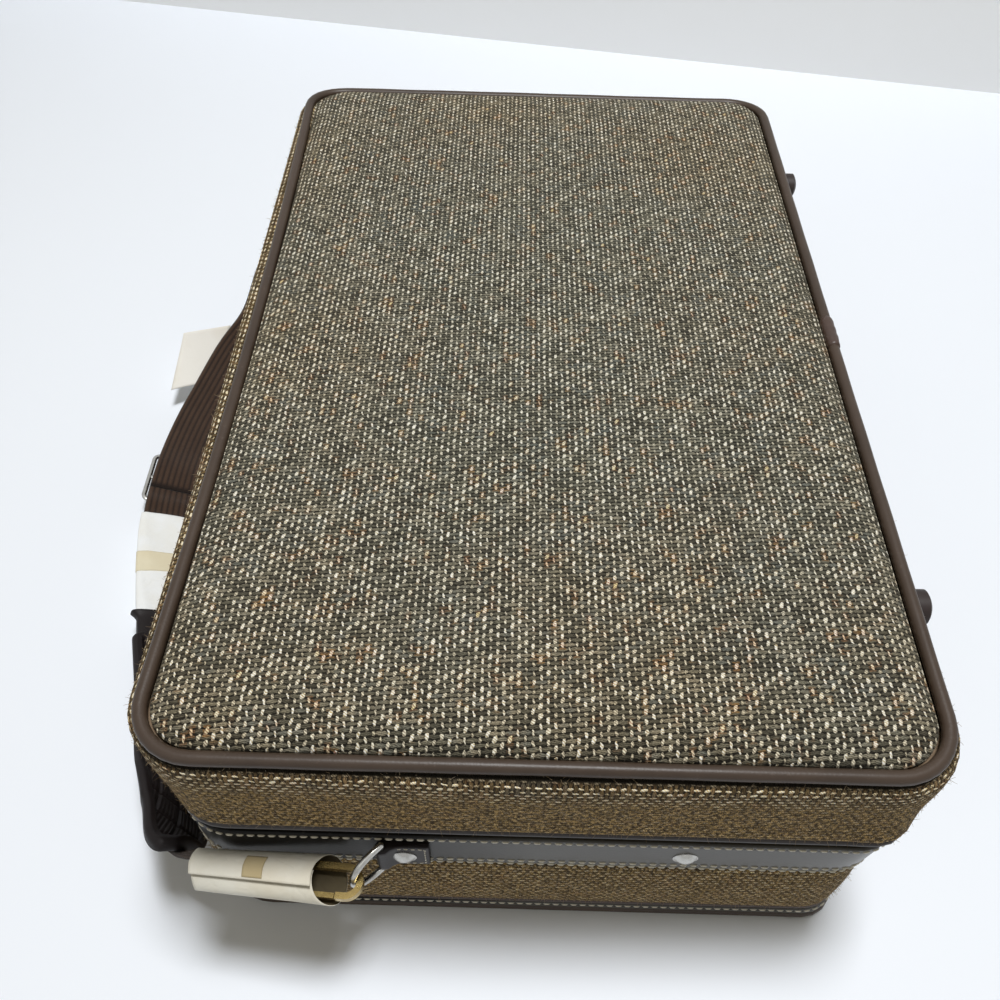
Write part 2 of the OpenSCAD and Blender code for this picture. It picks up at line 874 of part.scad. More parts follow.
module strap_slide() {
    lean = along(slide_place)[3];
    way = heading(slide_place);
    color("silver") translate(place(slide_place)) rotate([0, lean, atan2(-way[0], way[1])])
        translate([0, 0, strap_t / 2 + 2 * seat_clear]) difference() {
            translate([-slide_w / 2, -slide_l / 2, 0]) cube([slide_w, slide_l, slide_t]);
            for (s = [-1, 1])
                translate([-strap_w / 2, s * slide_l / 4 - (slide_l / 2 - 1.5 * slide_bar) / 2, -1])
                    cube([strap_w, slide_l / 2 - 1.5 * slide_bar, slide_t + 2]);
        }
}

// Paper wrapped round the near hook and the strap
module paper_tube() {
    color("white") on_hook() translate([tube_u[0], 0, 0]) rotate([0, 90, 0]) difference() {
        cylinder(r = tube_r + paper_t, h = tube_u[1] - tube_u[0]);
        translate([0, 0, -1]) cylinder(r = tube_r, h = tube_u[1] - tube_u[0] + 2);
    }
}

sleeve_half = strap_w / 2 + seat_clear;
sleeve_deep = strap_t / 2 + seat_clear;

module paper_sleeve() {
    color("white") difference() {
        strip(sleeve_span, 14, function (u) sleeve_half + paper_t,
            -sleeve_deep - paper_t, sleeve_deep + paper_t);
        strip(sleeve_span + [-0.1, 0.1], 14, function (u) sleeve_half, -sleeve_deep, sleeve_deep);
    }
}

module paper_tapes() {
    low = sleeve_deep + paper_t + tuck;
    outer = tube_r + paper_t;
    l = tube_tape_u[1] - tube_tape_u[0];
    color("moccasin") {
        strip(sleeve_tape_span, 4, function (u) sleeve_half, low, low + tape_film);
        on_hook() translate([tube_tape_u[0], 0, 0]) rotate([0, 90, 0]) intersection() {
            difference() {
                cylinder(r = outer + tape_film, h = l);
                translate([0, 0, -1]) cylinder(r = outer, h = l + 2);
            }
            translate([-outer - 1, 0, -1]) cube([outer + 1, outer + 1, l + 2]);
        }
    }
}

// Card tag tucked under the strap, standing out past its outer edge
function tag_share(u) = (u - tag_span[0]) / (tag_span[1] - tag_span[0]);

module hang_tag() {
    high = -strap_t / 2 - seat_clear;
    color("white") strip(tag_span, 6, function (u) tag_half, high - tag_t, high,
        function (u) tag_set[0] + (tag_set[1] - tag_set[0]) * tag_share(u));
}

lid_panel();
lid_foam();
lid_board();
lid_frame();
lid_gusset();
lid_piping();
piping_sleeve();
lid_welt();
lid_zip_tape();
lid_zip_teeth();
lid_lining();
lid_pocket();
pocket_elastic();
lid_feet();
hinge_tape_lid();
base_panel();
base_board();
base_frame();
base_piping();
base_edge();
base_welt();
base_gusset();
base_band();
base_zip_tape();
base_zip_teeth();
base_lining();
tie_straps();
tie_buckles();
base_feet();
hinge_tape_base();
hinge_cord();
band_rivets();
chape_near();
chape_far();
chape_rivets();
handle_brackets();
bracket_rivets();
handle_grip();
handle_core();
handle_loops();
slider_near();
slider_far();
pull_near();
pull_far();
dee_near();
dee_far();
hook_near();
hook_far();
gate_near();
gate_far();
eye_near();
eye_far();
strap_webbing();
shoulder_pad();
strap_slide();
paper_tube();
paper_sleeve();
paper_tapes();
hang_tag();
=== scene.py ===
import bpy
import bmesh
import numpy as np
from math import copysign, cos, exp, hypot, pi, radians, sin, sqrt
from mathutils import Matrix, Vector


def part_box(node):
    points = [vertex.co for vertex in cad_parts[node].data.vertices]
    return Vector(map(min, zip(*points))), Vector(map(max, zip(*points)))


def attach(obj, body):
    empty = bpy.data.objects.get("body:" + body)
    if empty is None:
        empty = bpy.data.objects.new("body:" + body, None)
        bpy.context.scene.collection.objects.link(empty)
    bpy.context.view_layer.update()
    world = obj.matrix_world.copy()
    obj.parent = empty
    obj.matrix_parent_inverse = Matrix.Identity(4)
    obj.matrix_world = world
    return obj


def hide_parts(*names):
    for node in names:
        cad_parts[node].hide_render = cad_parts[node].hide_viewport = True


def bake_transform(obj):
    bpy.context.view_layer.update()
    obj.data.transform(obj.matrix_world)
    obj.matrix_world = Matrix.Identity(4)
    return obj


# Tweed travel case with its shoulder strap, lying on its back panel. Metres, same frame as the solids.
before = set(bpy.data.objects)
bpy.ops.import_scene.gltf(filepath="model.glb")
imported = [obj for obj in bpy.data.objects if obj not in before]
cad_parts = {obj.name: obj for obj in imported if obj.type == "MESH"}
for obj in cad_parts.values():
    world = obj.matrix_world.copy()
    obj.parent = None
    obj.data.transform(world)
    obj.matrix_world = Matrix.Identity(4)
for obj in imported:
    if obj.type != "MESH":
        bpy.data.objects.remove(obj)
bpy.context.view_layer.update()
scene = bpy.context.scene
mm = 0.001
print("frame loaded")


# Camera

shot = {"place": (-0.0204, -0.4102, 0.5407), "turn": (38.88, -1.0, 1.26), "lens": 33.04}
camera = bpy.data.objects.new("camera", bpy.data.cameras.new("camera"))
camera.location = shot["place"]
camera.rotation_euler = [radians(a) for a in shot["turn"]]
camera.data.lens = shot["lens"]
camera.data.sensor_width = 36
camera.data.clip_start = 0.01
scene.collection.objects.link(camera)
scene.camera = camera
scene.view_settings.view_transform = "Standard"


# Shader building: a socket with operators, and one finish per material

def maths(operation, flip=False):
    if flip:
        return lambda self, other: self.finish.calc(operation, other, self)
    return lambda self, *others: self.finish.calc(operation, self, *others)


class Sock:
    def __init__(self, finish, socket):
        self.finish, self.socket = finish, socket

    __add__ = __radd__ = maths("ADD")
    __mul__ = __rmul__ = maths("MULTIPLY")
    __sub__, __rsub__ = maths("SUBTRACT"), maths("SUBTRACT", True)
    __truediv__, __rtruediv__ = maths("DIVIDE"), maths("DIVIDE", True)
    __mod__ = maths("FLOORED_MODULO")
    floor, fract, root = maths("FLOOR"), maths("FRACT"), maths("SQRT")
    sine, size = maths("SINE"), maths("ABSOLUTE")
    most, least = maths("MAXIMUM"), maths("MINIMUM")

    def held(self):
        return self.most(0).least(1)

    def past(self, start, slope):
        return ((self - start) * slope).held()

    def between(self, start, end):
        return ((self - start) / (end - start)).held()


class Finish:
    def __init__(self, name, constants):
        self.material = bpy.data.materials.new(name)
        self.material.use_nodes = True
        self.tree = self.material.node_tree
        self.shader = self.tree.nodes["Principled BSDF"]
        for socket, value in constants.items():
            self.shader.inputs[socket].default_value = value

    def node(self, kind, settings=None, sockets=None, out=0):
        made = self.tree.nodes.new(kind)
        for key, value in (settings or {}).items():
            if key == "stops":
                stops = made.color_ramp.elements
                stops.remove(stops[1])
                for k, (at, colour) in enumerate(value):
                    stop = stops[0] if k == 0 else stops.new(at)
                    stop.position = at
                    stop.color = (*colour, 1)
            else:
                setattr(made, key, value)
        for key, value in (sockets or {}).items():
            if isinstance(value, Sock):
                self.tree.links.new(value.socket, made.inputs[key])
            else:
                made.inputs[key].default_value = value
        return Sock(self, made.outputs[out])

    def calc(self, operation, *values):
        return self.node("ShaderNodeMath", {"operation": operation}, dict(enumerate(values)))

    def coords(self, kind):
        split = self.node("ShaderNodeSeparateXYZ", None, {0: self.node("ShaderNodeTexCoord", out=kind)})
        return [Sock(self, split.socket.node.outputs[k]) for k in range(3)]

    def vector(self, x, y, z=0.0):
        return self.node("ShaderNodeCombineXYZ", None, {0: x, 1: y, 2: z})

    def place(self, kind, scale=(1, 1, 1)):
        source = self.node("ShaderNodeTexCoord", out=kind)
        return self.node("ShaderNodeMapping", None, {"Vector": source, "Scale": scale})

    def noise(self, at, scale, detail=2.0, rough=0.5, out="Fac"):
        return self.node("ShaderNodeTexNoise", None,
                         {"Vector": at, "Scale": scale, "Detail": detail, "Roughness": rough}, out)

    def chance(self, x, y):
        at = self.vector(x, y)
        return self.node("ShaderNodeTexWhiteNoise", {"noise_dimensions": "2D"}, {"Vector": at})

    def ramp(self, value, stops):
        return self.node("ShaderNodeValToRGB", {"stops": stops}, {0: value})

    def mix(self, share, first, second, blend="MIX"):
        first, second = [(*c, 1) if isinstance(c, tuple) else c for c in (first, second)]
        return self.node("ShaderNodeMix", {"data_type": "RGBA", "blend_type": blend},
                         {0: share, 6: first, 7: second}, 2)

    def set(self, socket, value):
        self.tree.links.new(value.socket, self.shader.inputs[socket])

    def done(self, colour, height, distance, strength=1.0, rough=None):
        # links what varies over the surface, and hands over the material
        bump = self.node("ShaderNodeBump", None,
                         {"Height": height, "Distance": distance, "Strength": strength})
        for socket, value in (("Base Color", colour), ("Normal", bump), ("Roughness", rough)):
            if value is not None:
                self.set(socket, value)
        return self.material


def tweedFinish(name, look):
    # Plain weave: pale warp flecks over dark weft floats, hairy twisted yarn, colour that comes in clusters;
    # painted shade between the yarns, and on the sides a painted shadow under the piping
    f = Finish(name, {"Roughness": 0.92, "Sheen Weight": look["sheen"], "Sheen Roughness": 0.5,
                      "Sheen Tint": (*look["sheenTint"], 1), "Specular IOR Level": 0.12})
    warp, weft, kind = look["warp"], look["weft"], look["coords"]
    x, y, z = f.coords(kind)
    first, second = (x, y) if kind == "Object" else (y, x)
    where = f.place(kind)

    def stray(scale, far, out="Fac"):
        return (f.noise(where, scale, 2.0, 0.5, out) - 0.5) * far * mm

    across = first + stray(55, 1.3) + stray(620, 1.2)
    along = second - first * look["skew"] + stray(80, 1.4, "Color") + stray(700, 1.1)
    columns = across / warp + 500
    column = columns.floor()
    flecks = along / (2 * weft) + 500 + (column % 2) * 0.5
    rows = along / weft + 1000.5
    row = rows.floor()
    floats = columns * 0.5 + 0.25 - (row % 2) * 0.5
    luck = f.chance(column + 0.5, flecks.floor() + 0.5)
    luck2 = f.chance(flecks.floor() + 7.5, column + 3.5)
    floatLuck = f.chance(row + 0.5, floats.floor() + 9.5)
    fa, fb = (columns.fract() - 0.5) * warp, (flecks.fract() - 0.5) * (2 * weft)
    wa, wb = (floats.fract() - 0.5) * (2 * warp), (rows.fract() - 0.5) * weft
    slant = (fa - fb * (luck2 - 0.5) * 0.5) / (look["fleck"][0] * (0.65 + 0.6 * luck2))
    reach = fb / (look["fleck"][1] * (0.7 + 0.5 * luck))
    wide, tall = wa / look["float"][0], wb / look["float"][1]
    fleckHigh = (1 - slant * slant - reach * reach).most(0).root() * (0.7 + 0.4 * luck2)
    floatHigh = (1 - wide * wide - tall * tall).most(0).root() * (0.6 + 0.3 * floatLuck)
    high = fleckHigh.most(floatHigh)
    fleckShare = ((fleckHigh - floatHigh) * 5 + 0.2).held()
    ply = ((fa * 0.8 + fb) * 5200 + luck * 6).sine() * fleckShare
    ply = ply + ((wb * 1.5 + wa * 0.3) * 6200 + floatLuck * 6).sine() * (1 - fleckShare)
    fine = f.noise(f.vector(across, along, z), 1900, 3.0, 0.75)
    warm = f.node("ShaderNodeSeparateColor", None, {0: f.noise(where, 80, 3.0, 0.55, "Color")})
    cool = Sock(f, warm.socket.node.outputs[1])
    warmth = (warm + (luck - 0.5) * 0.5).past(0.64, 5)
    coolness = (cool + (floatLuck - 0.5) * 0.4).past(0.57, 5)
    fleckTone = f.mix(warmth * 0.8, f.ramp(luck, look["fleckTones"]), f.ramp(luck2, look["warmFlecks"]))
    floatTone = f.mix(warmth * 0.8, f.ramp(floatLuck, look["floatTones"]), f.ramp(luck2, look["warmFloats"]))
    floatTone = f.mix(coolness * 0.6, floatTone, look["coolFloat"])
    # painted shade: the gap colour fills the low places between the yarns
    tone = f.mix((high * 1.7 + 0.02).held(), look["gap"], f.mix(fleckShare, floatTone, fleckTone))
    relief = high + fine * 0.3 + ply * 0.06
    if look["fade"]:
        start, end, least = look["fade"]
        clear = first.between(start, end) * (1 - least) + least
        hairs = f.noise(f.place(kind, (0.9, 0.55, 1)), 560, 4.0, 0.72)
        tone = f.mix(clear, f.ramp(hairs + (fine - 0.5) * 0.3, look["fuzz"]), tone)
        relief = relief * clear + hairs * 0.7 * (1 - clear)
        # painted shadow: a thin band at the top of the gusset, just under the piping, takes the gap colour,
        # except on the left side
        right, _, height = f.coords("Object")
        tone = f.mix(height.between(*look["seam"]) * right.between(*look["pipingShadowFrom"]), tone, look["gap"])
    tone = f.mix(1.0, tone, f.ramp(fine + ply * 0.2, [(0.25, (0.14,) * 3), (0.75, (0.9,) * 3)]), "OVERLAY")
    drift = f.noise(where, 7, 2.0) + (x * x / 0.028 + y * y / 0.07 - 0.5) * look["edge"]
    tone = f.mix(look["shift"], tone, f.ramp(drift, look["patchTones"]), "OVERLAY")
    return f.done(tone, relief, look["relief"])


def tinted(tones, *tint):
    return [(at, tuple(min(1, c * t) for c, t in zip(colour, tint))) for at, colour in tones]


topWeave = dict(
    coords="Object", warp=3.03 * mm, weft=2.08 * mm, skew=0.07, fleck=(0.84 * mm, 1.44 * mm),
    float=(2.75 * mm, 0.95 * mm), relief=0.9 * mm, sheen=0.1, sheenTint=(0.8, 0.72, 0.58), fade=None,
    # gap is the colour of the painted shade between the yarns
    gap=(0.010, 0.009, 0.007), coolFloat=(0.070, 0.086, 0.090), shift=0.6, edge=0.15,
    fleckTones=[(0.0, (0.35, 0.32, 0.245)), (0.3, (0.48, 0.44, 0.355)), (0.65, (0.61, 0.57, 0.47)),
                (1.0, (0.77, 0.735, 0.635))],
    floatTones=[(0.0, (0.058, 0.054, 0.042)), (0.4, (0.103, 0.097, 0.074)), (0.75, (0.152, 0.14, 0.106)),
                (1.0, (0.23, 0.205, 0.155))],
    warmFlecks=[(0.0, (0.40, 0.23, 0.14)), (0.4, (0.50, 0.36, 0.22)), (0.7, (0.56, 0.43, 0.36)),
                (1.0, (0.44, 0.33, 0.12))],
    warmFloats=[(0.0, (0.12, 0.065, 0.036)), (0.5, (0.17, 0.095, 0.045)), (0.8, (0.22, 0.13, 0.05)),
                (1.0, (0.11, 0.05, 0.03))],
    patchTones=[(0.34, (0.47, 0.50, 0.485)), (0.52, (0.5, 0.495, 0.46)), (0.72, (0.56, 0.495, 0.40))])
sideWeave = dict(
    topWeave, coords="UV", skew=0.0, edge=0.0, sheenTint=(0.72, 0.52, 0.3), fade=(0.043, 0.055, 0.25),
    # seam gives the heights of the painted shadow under the piping, and the next entry the x from which it
    # is painted
    seam=(0.1880, 0.1892), pipingShadowFrom=(-0.164, -0.160),
    fleckTones=tinted(topWeave["fleckTones"], 1.3, 1.24, 1.15),
    floatTones=tinted(topWeave["floatTones"], 1.1, 0.86, 0.6),
    fuzz=[(0.42, (0.007, 0.004, 0.001)), (0.5, (0.052, 0.031, 0.008)), (0.58, (0.40, 0.29, 0.12))],
    patchTones=[(0.3, (0.43, 0.385, 0.30)), (0.7, (0.48, 0.405, 0.30))])


def vinylFinish(name, deep, pale, worn=(0.15, 0.11, 0.09), rough=0.42, shine=0.45, coat=0.08, paintedShade=None):
    # Calendered vinyl: fine grain, soft shine, paler where rubbed; the last argument, if given, holds a
    # colour and an x range for painted shade: below the range the vinyl takes that dark colour and no coat
    f = Finish(name, {"Specular IOR Level": shine, "Coat Roughness": 0.35, "Coat Weight": coat})
    where = f.place("Object")
    grain = f.node("ShaderNodeTexVoronoi", {"feature": "F1"}, {"Vector": where, "Scale": 900}, "Distance")
    cloud = f.noise(where, 28, 4.0, 0.6)
    rub = f.noise(f.place("Object", (1, 1, 2.2)), 240, 3.0, 0.7).past(0.62, 6) * 0.35
    tone = f.mix(cloud.past(0.3, 1.8), deep, pale)
    # painted shade: the dark colour and the missing coat stand in for shade below the x range
    if paintedShade:
        outsideShade = f.coords("Object")[0].between(*paintedShade[1])
        tone = f.mix(outsideShade, paintedShade[0], tone)
        f.set("Coat Weight", outsideShade * coat)
    return f.done(f.mix(rub, tone, worn), grain * 0.5 + cloud * 0.6, 0.12 * mm, 0.6,
                  rough + (cloud - 0.5) * 0.18 + rub * 0.25)


def metalFinish(name, bright, dull, rough):
    # Plated or solid metal: fine scratches and a little tarnish in the hollows
    f = Finish(name, {"Metallic": 1.0})
    hair = f.noise(f.place("Object", (1, 6, 3)), 900, 2.0, 0.7)
    cloud = f.noise(f.place("Object"), 140, 4.0, 0.65)
    return f.done(f.mix(cloud.past(0.45, 3), bright, dull), hair * 0.4 + cloud * 0.6, 0.05 * mm, 0.5,
                  rough + (cloud - 0.5) * 0.22 + (hair - 0.5) * 0.12)


def mouldedFinish(name, tone, dusty, dust, rough, shine):
    # Moulded rubber or plastic: fine matt texture with dust on it
    f = Finish(name, {"Specular IOR Level": shine})
    speck = f.noise(f.place("Object"), 1100, 3.0, 0.7)
    settled = f.noise(f.place("Object"), 60, 4.0, 0.6).past(0.5, 2.2) * dust
    return f.done(f.mix(settled, tone, dusty), speck, 0.06 * mm, 0.5,
                  rough + (speck - 0.5) * 0.2 + settled * 0.3)


def clothFinish(name, deep, pale, fleck, gap, pitch, relief, sheen=0.2, coords="UV", ribs=None):
    # Plain fine weave, uneven dye; ribs holds their pitch, the width of a dark band at the cloth's start
    # that is painted shadow under a fold, and the colour of that band and of the grooves between the ribs
    f = Finish(name, {"Roughness": 0.88, "Sheen Weight": sheen, "Specular IOR Level": 0.2})
    u, v, _ = f.coords(coords)
    turn = 2 * pi / pitch
    warp, weft = (u * turn).sine(), (v * turn).sine()
    over = (warp * weft * 1.5 + 0.5).held()
    height = over * warp.size() + (1 - over) * weft.size()
    cloud = f.noise(f.place(coords), 45, 4.0, 0.6)
    slub = f.noise(f.place(coords, (1, 12, 1)), 260, 2.0, 0.6)
    tone = f.mix(cloud.past(0.3, 1.6), deep, pale)
    tone = f.mix(slub.past(0.55, 3) * 0.5, tone, fleck)
    if ribs:
        step, fold, grooveAndFoldShadow = ribs
        # painted shadow at the cloth's start, where the doubled strap folds; the same dark colour runs along
        # the grooves between the ribs
        ridge = (v * (pi / step)).sine().size() * u.between(fold / 2, fold * 1.5)
        tone = f.mix(ridge.held(), grooveAndFoldShadow, tone)
    return f.done(f.mix((height * 0.5 + 0.4).held(), gap, tone), height + slub * 0.4, relief, 0.8)


def paperFinish(name, fresh, aged, fibre, relief):
    # Soft wrapping paper: faint fibres, crumples and yellowing
    f = Finish(name, {"Roughness": 0.8, "Specular IOR Level": 0.25})
    where = f.place("Object")
    crease = f.node("ShaderNodeTexVoronoi", {"feature": "DISTANCE_TO_EDGE"},
                    {"Vector": f.noise(where, 30, 2.0, 0.5, "Color"), "Scale": 7}, "Distance")
    age = f.noise(where, 26, 4.0, 0.6)
    thin = f.noise(where, 1400, 3.0, 0.7)
    tone = f.mix(age.past(0.42, 2.4), fresh, aged)
    tone = f.mix(thin.past(0.5, 2) * 0.12, tone, fibre)
    return f.done(tone, crease.least(0.2) * 2 + thin * 0.06 + age * 0.5, relief, 0.5)


def woodFinish(name, deep, pale, run):
    f = Finish(name, {"Roughness": 0.7})
    ring = f.noise(f.place("Object", run), 40, 5.0, 0.65)
    pore = f.noise(f.place("Object", run), 420, 2.0, 0.7)
    tone = f.mix(pore.past(0.58, 4), f.mix(ring.past(0.3, 1.9), deep, pale), deep)
    return f.done(tone, ring + pore * 0.5, 0.15 * mm, 0.6)


def plainFinish(name, deep, pale):
    f = Finish(name, {"Roughness": 0.55, "Specular IOR Level": 0.3})
    f.set("Base Color", f.mix(f.noise(f.place("Object"), 1.4, 2.0), deep, pale))
    return f.material


pipingVinyl = vinylFinish("pipingVinyl", (0.039, 0.025, 0.0165), (0.064, 0.0425, 0.029), shine=0.32,
                          coat=0.03)
weltVinyl = vinylFinish("weltVinyl", (0.040, 0.022, 0.015), (0.065, 0.036, 0.025))
# painted shade: a darker copy of the welt vinyl for the lid welt, which sits in the shadowed gap under the
# lid
lidWeltPaintedShade = vinylFinish("lidWeltPaintedShade", (0.014, 0.009, 0.007), (0.024, 0.015, 0.011))
# painted shade: the band is coloured darker and has no coat on its left part, up to x = -0.06 m and fading
# out by x = 0, where the lid and the paper roll shade it
bandVinyl = vinylFinish("bandVinyl", (0.030, 0.026, 0.018), (0.046, 0.040, 0.029), (0.10, 0.09, 0.083),
                        0.34, 0.12, 0.38, ((0.006, 0.005, 0.004), (-0.06, 0.0)))
chapeVinyl = vinylFinish("chapeVinyl", (0.012, 0.009, 0.009), (0.024, 0.019, 0.018), (0.08, 0.07, 0.065),
                         shine=0.15, coat=0.0)
handleVinyl = vinylFinish("handleVinyl", (0.034, 0.020, 0.014), (0.058, 0.036, 0.026))
nickel = metalFinish("nickel", (0.50, 0.49, 0.46), (0.30, 0.285, 0.26), 0.26)
steel = metalFinish("steel", (0.42, 0.42, 0.42), (0.28, 0.27, 0.26), 0.4)
hookBrass = metalFinish("hookBrass", (0.44, 0.33, 0.13), (0.24, 0.17, 0.07), 0.28)
zipBrass = metalFinish("zipBrass", (0.46, 0.34, 0.16), (0.26, 0.19, 0.10), 0.36)
footRubber = mouldedFinish("footRubber", (0.022, 0.014, 0.012), (0.07, 0.06, 0.055), 0.35, 0.5, 0.35)
padRubber = mouldedFinish("padRubber", (0.009, 0.006, 0.006), (0.022, 0.018, 0.018), 0.15, 0.55, 0.22)
webbingCloth = clothFinish("webbingCloth", (0.058, 0.031, 0.018), (0.100, 0.056, 0.034), (0.14, 0.09, 0.065),
                           (0.018, 0.010, 0.008), 1.5 * mm, 0.22 * mm,
                           # the dark colour marks the rib grooves and paints the shadow under the fold at
                           # the start of the doubled strap
                           ribs=(4.0 * mm, 3.0 * mm, (0.016, 0.009, 0.006)))
zipCloth = clothFinish("zipCloth", (0.012, 0.009, 0.008), (0.026, 0.02, 0.017), (0.04, 0.033, 0.03),
                       (0.005, 0.004, 0.004), 1.2 * mm, 0.15 * mm)
liningCloth = clothFinish("liningCloth", (0.30, 0.22, 0.13), (0.40, 0.31, 0.19), (0.47, 0.38, 0.26),
                          (0.16, 0.11, 0.06), 1.1 * mm, 0.12 * mm, 0.3)
strapCloth = clothFinish("strapCloth", (0.075, 0.045, 0.026), (0.12, 0.075, 0.045), (0.18, 0.12, 0.075),
                         (0.03, 0.018, 0.01), 1.6 * mm, 0.2 * mm)
thread = clothFinish("thread", (0.74, 0.70, 0.60), (0.86, 0.83, 0.74), (0.9, 0.88, 0.81), (0.6, 0.56, 0.46),
                     0.6 * mm, 0.05 * mm, coords="Object")
fibre = clothFinish("fibre", (0.22, 0.15, 0.08), (0.42, 0.33, 0.22), (0.55, 0.48, 0.38), (0.2, 0.14, 0.07),
                    3 * mm, 0.02 * mm, coords="Object")
paper = paperFinish("paper", (0.84, 0.86, 0.87), (0.78, 0.765, 0.70), (0.6, 0.55, 0.46), 0.5 * mm)
rollPaper = paperFinish("rollPaper", (0.76, 0.74, 0.66), (0.66, 0.60, 0.47), (0.55, 0.48, 0.38), 0.5 * mm)
# painted shade: a dark copy of the paper for the inside of the paper roll, standing in for the shade within
# it
rollInsidePaintedShade = paperFinish("rollInsidePaintedShade", (0.10, 0.08, 0.045), (0.05, 0.036, 0.02), (0.16, 0.13, 0.08),
                         0.4 * mm)
tagCard = paperFinish("tagCard", (0.82, 0.80, 0.75), (0.74, 0.70, 0.62), (0.6, 0.55, 0.46), 0.2 * mm)
tapeFilm = paperFinish("tapeFilm", (0.73, 0.67, 0.50), (0.65, 0.56, 0.38), (0.5, 0.42, 0.26), 0.15 * mm)
oldTape = paperFinish("oldTape", (0.52, 0.43, 0.26), (0.44, 0.35, 0.19), (0.28, 0.2, 0.1), 0.15 * mm)
board = woodFinish("board", (0.14, 0.09, 0.05), (0.24, 0.16, 0.09), (1, 1, 1))
ply = woodFinish("ply", (0.34, 0.22, 0.11), (0.50, 0.35, 0.19), (0.4, 0.4, 6))
tweedTop = tweedFinish("tweedTop", topWeave)
tweedSide = tweedFinish("tweedSide", sideWeave)
tweedBase = tweedFinish("tweedBase", dict(sideWeave, fade=(0.08, 0.09, 0.45)))
print("finishes made")


# Mesh helpers

def clamp(t):
    return min(1, max(0, t))


def bell(u, at, wide):
    return exp(-((u - at) / wide) ** 2)


def newObject(name, points, edges, faces, finish):
    mesh = bpy.data.meshes.new(name)
    mesh.from_pydata([tuple(map(float, p)) for p in points], edges, faces)
    mesh.materials.append(finish)
    piece = bpy.data.objects.new(name, mesh)
    scene.collection.objects.link(piece)
    return piece


def addPiece(name, points, faces, finish, uvs=None, outward=True):
    piece = newObject(name, points, [], [tuple(map(int, q)) for q in faces], finish)
    if uvs is not None:
        piece.data.uv_layers.new(name="cloth").data.foreach_set("uv", np.asarray(uvs, float).ravel())
    shell = bmesh.new()
    shell.from_mesh(piece.data)
    if outward:
        bmesh.ops.recalc_face_normals(shell, faces=shell.faces)
    for face in shell.faces:
        face.smooth = True
    shell.to_mesh(piece.data)
    shell.free()
    return piece


def grid(rows, columns, closeRows=False, closeColumns=False):
    faces = []
    for i in range(rows if closeRows else rows - 1):
        for j in range(columns if closeColumns else columns - 1):
            a, b = i * columns, (i + 1) % rows * columns
            after = (j + 1) % columns
            faces.append((a + j, a + after, b + after, b + j))
    return faces


def fan(first, count, hub):
    return [(first + i, first + (i + 1) % count, hub) for i in range(count)]


def gridUvs(run, rise):
    # one pair a corner, in the order that grid makes its faces, with no wrap at the seam
    uvs = []
    for a, b in zip(run, run[1:]):
        for c, d in zip(rise, rise[1:]):
            uvs += [(a, c), (a, d), (b, d), (b, c)]
    return uvs


def steps(points, closed):
    points = np.asarray(points, float)
    if closed:
        points = np.vstack([points, points[:1]])
    return np.concatenate([[0], np.cumsum(np.linalg.norm(np.diff(points, axis=0), axis=1))])


def loft(name, rings, finish, closedRing=True, closedRun=False, caps=True, outward=True):
    # skin over rows of points; UVs run in metres along and across
    rings = np.asarray(rings, float)
    rows, columns = rings.shape[:2]
    faces = grid(rows, columns, closedRun, closedRing)
    uvs = gridUvs(steps(rings[:, columns // 2], closedRun), steps(rings[rows // 2], closedRing))
    if caps and closedRing and not closedRun:
        for row, turn in ((0, 1), (rows - 1, -1)):
            faces.append([row * columns + j for j in range(columns)][::turn])
            uvs += [(0.0, 0.0)] * columns
    return addPiece(name, rings.reshape(-1, 3), faces, finish, uvs, outward)


def bake(piece):
    # applies the piece's modifiers and removes them
    bpy.context.view_layer.update()
    ready = piece.evaluated_get(bpy.context.evaluated_depsgraph_get())
    mesh = bpy.data.meshes.new_from_object(ready)
    old, piece.data = piece.data, mesh
    piece.modifiers.clear()
    bpy.data.meshes.remove(old)
    mesh.name = piece.name
    return piece


def soften(piece, width, angle):
    bevel = piece.modifiers.new("edges", "BEVEL")
    bevel.width, bevel.segments, bevel.angle_limit = width, 2, radians(angle)
    bevel.limit_method = "ANGLE"
    return bake(piece)


def thicken(piece, thickness, offset=0.0, inside=None):
    wall = piece.modifiers.new("wall", "SOLIDIFY")
    wall.thickness, wall.offset = thickness, offset
    if inside:
        piece.data.materials.append(inside)
        wall.material_offset = 1
    return bake(piece)


def settle(piece, body, slot, *nodes):
    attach(piece, body)
    if nodes:
        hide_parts(*nodes)
    return piece


# The case's outline, from the solids

skinLow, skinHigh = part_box("lid_gusset")
case = {"halfW": skinHigh.x, "halfL": skinHigh.y, "corner": 28 * mm, "step": 6 * mm}


def outline(step=case["step"], reach=None):
    # runs round the case from the hinge side, with its outward direction; reach keeps only x below it
    w, l, r = case["halfW"], case["halfL"], case["corner"]
    points, normals = [], []
    corners = [((w - r, l - r), 0), ((r - w, l - r), 90), ((r - w, r - l), 180), ((w - r, r - l), 270)]
    starts = [(w, 0), (w - r, l), (-w, l - r), (r - w, -l), (w, r - l)]
    ends = [(w, l - r), (r - w, l), (-w, r - l), (w - r, -l), (w, 0)]
    sides = [(1, 0), (0, 1), (-1, 0), (0, -1), (1, 0)]
    for k in range(5):
        a, b = np.array(starts[k]), np.array(ends[k])
        n = max(1, int(round(np.linalg.norm(b - a) / step)))
        for i in range(n):
            points.append(a + (b - a) * i / n)
            normals.append(sides[k])
        if k < 4:
            centre, first = corners[k]
            bends = max(8, int(round(r * pi / 2 / step)))
            for i in range(bends):
                angle = radians(first + 90 * i / bends)
                way = np.array([cos(angle), sin(angle)])
                points.append(np.array(centre) + r * way)
                normals.append(way)
    points, normals = np.array(points, float), np.array(normals, float)
    if reach is not None:
        kept = points[:, 0] <= reach
        points, normals = points[kept], normals[kept]
    return points, normals


run = outline()


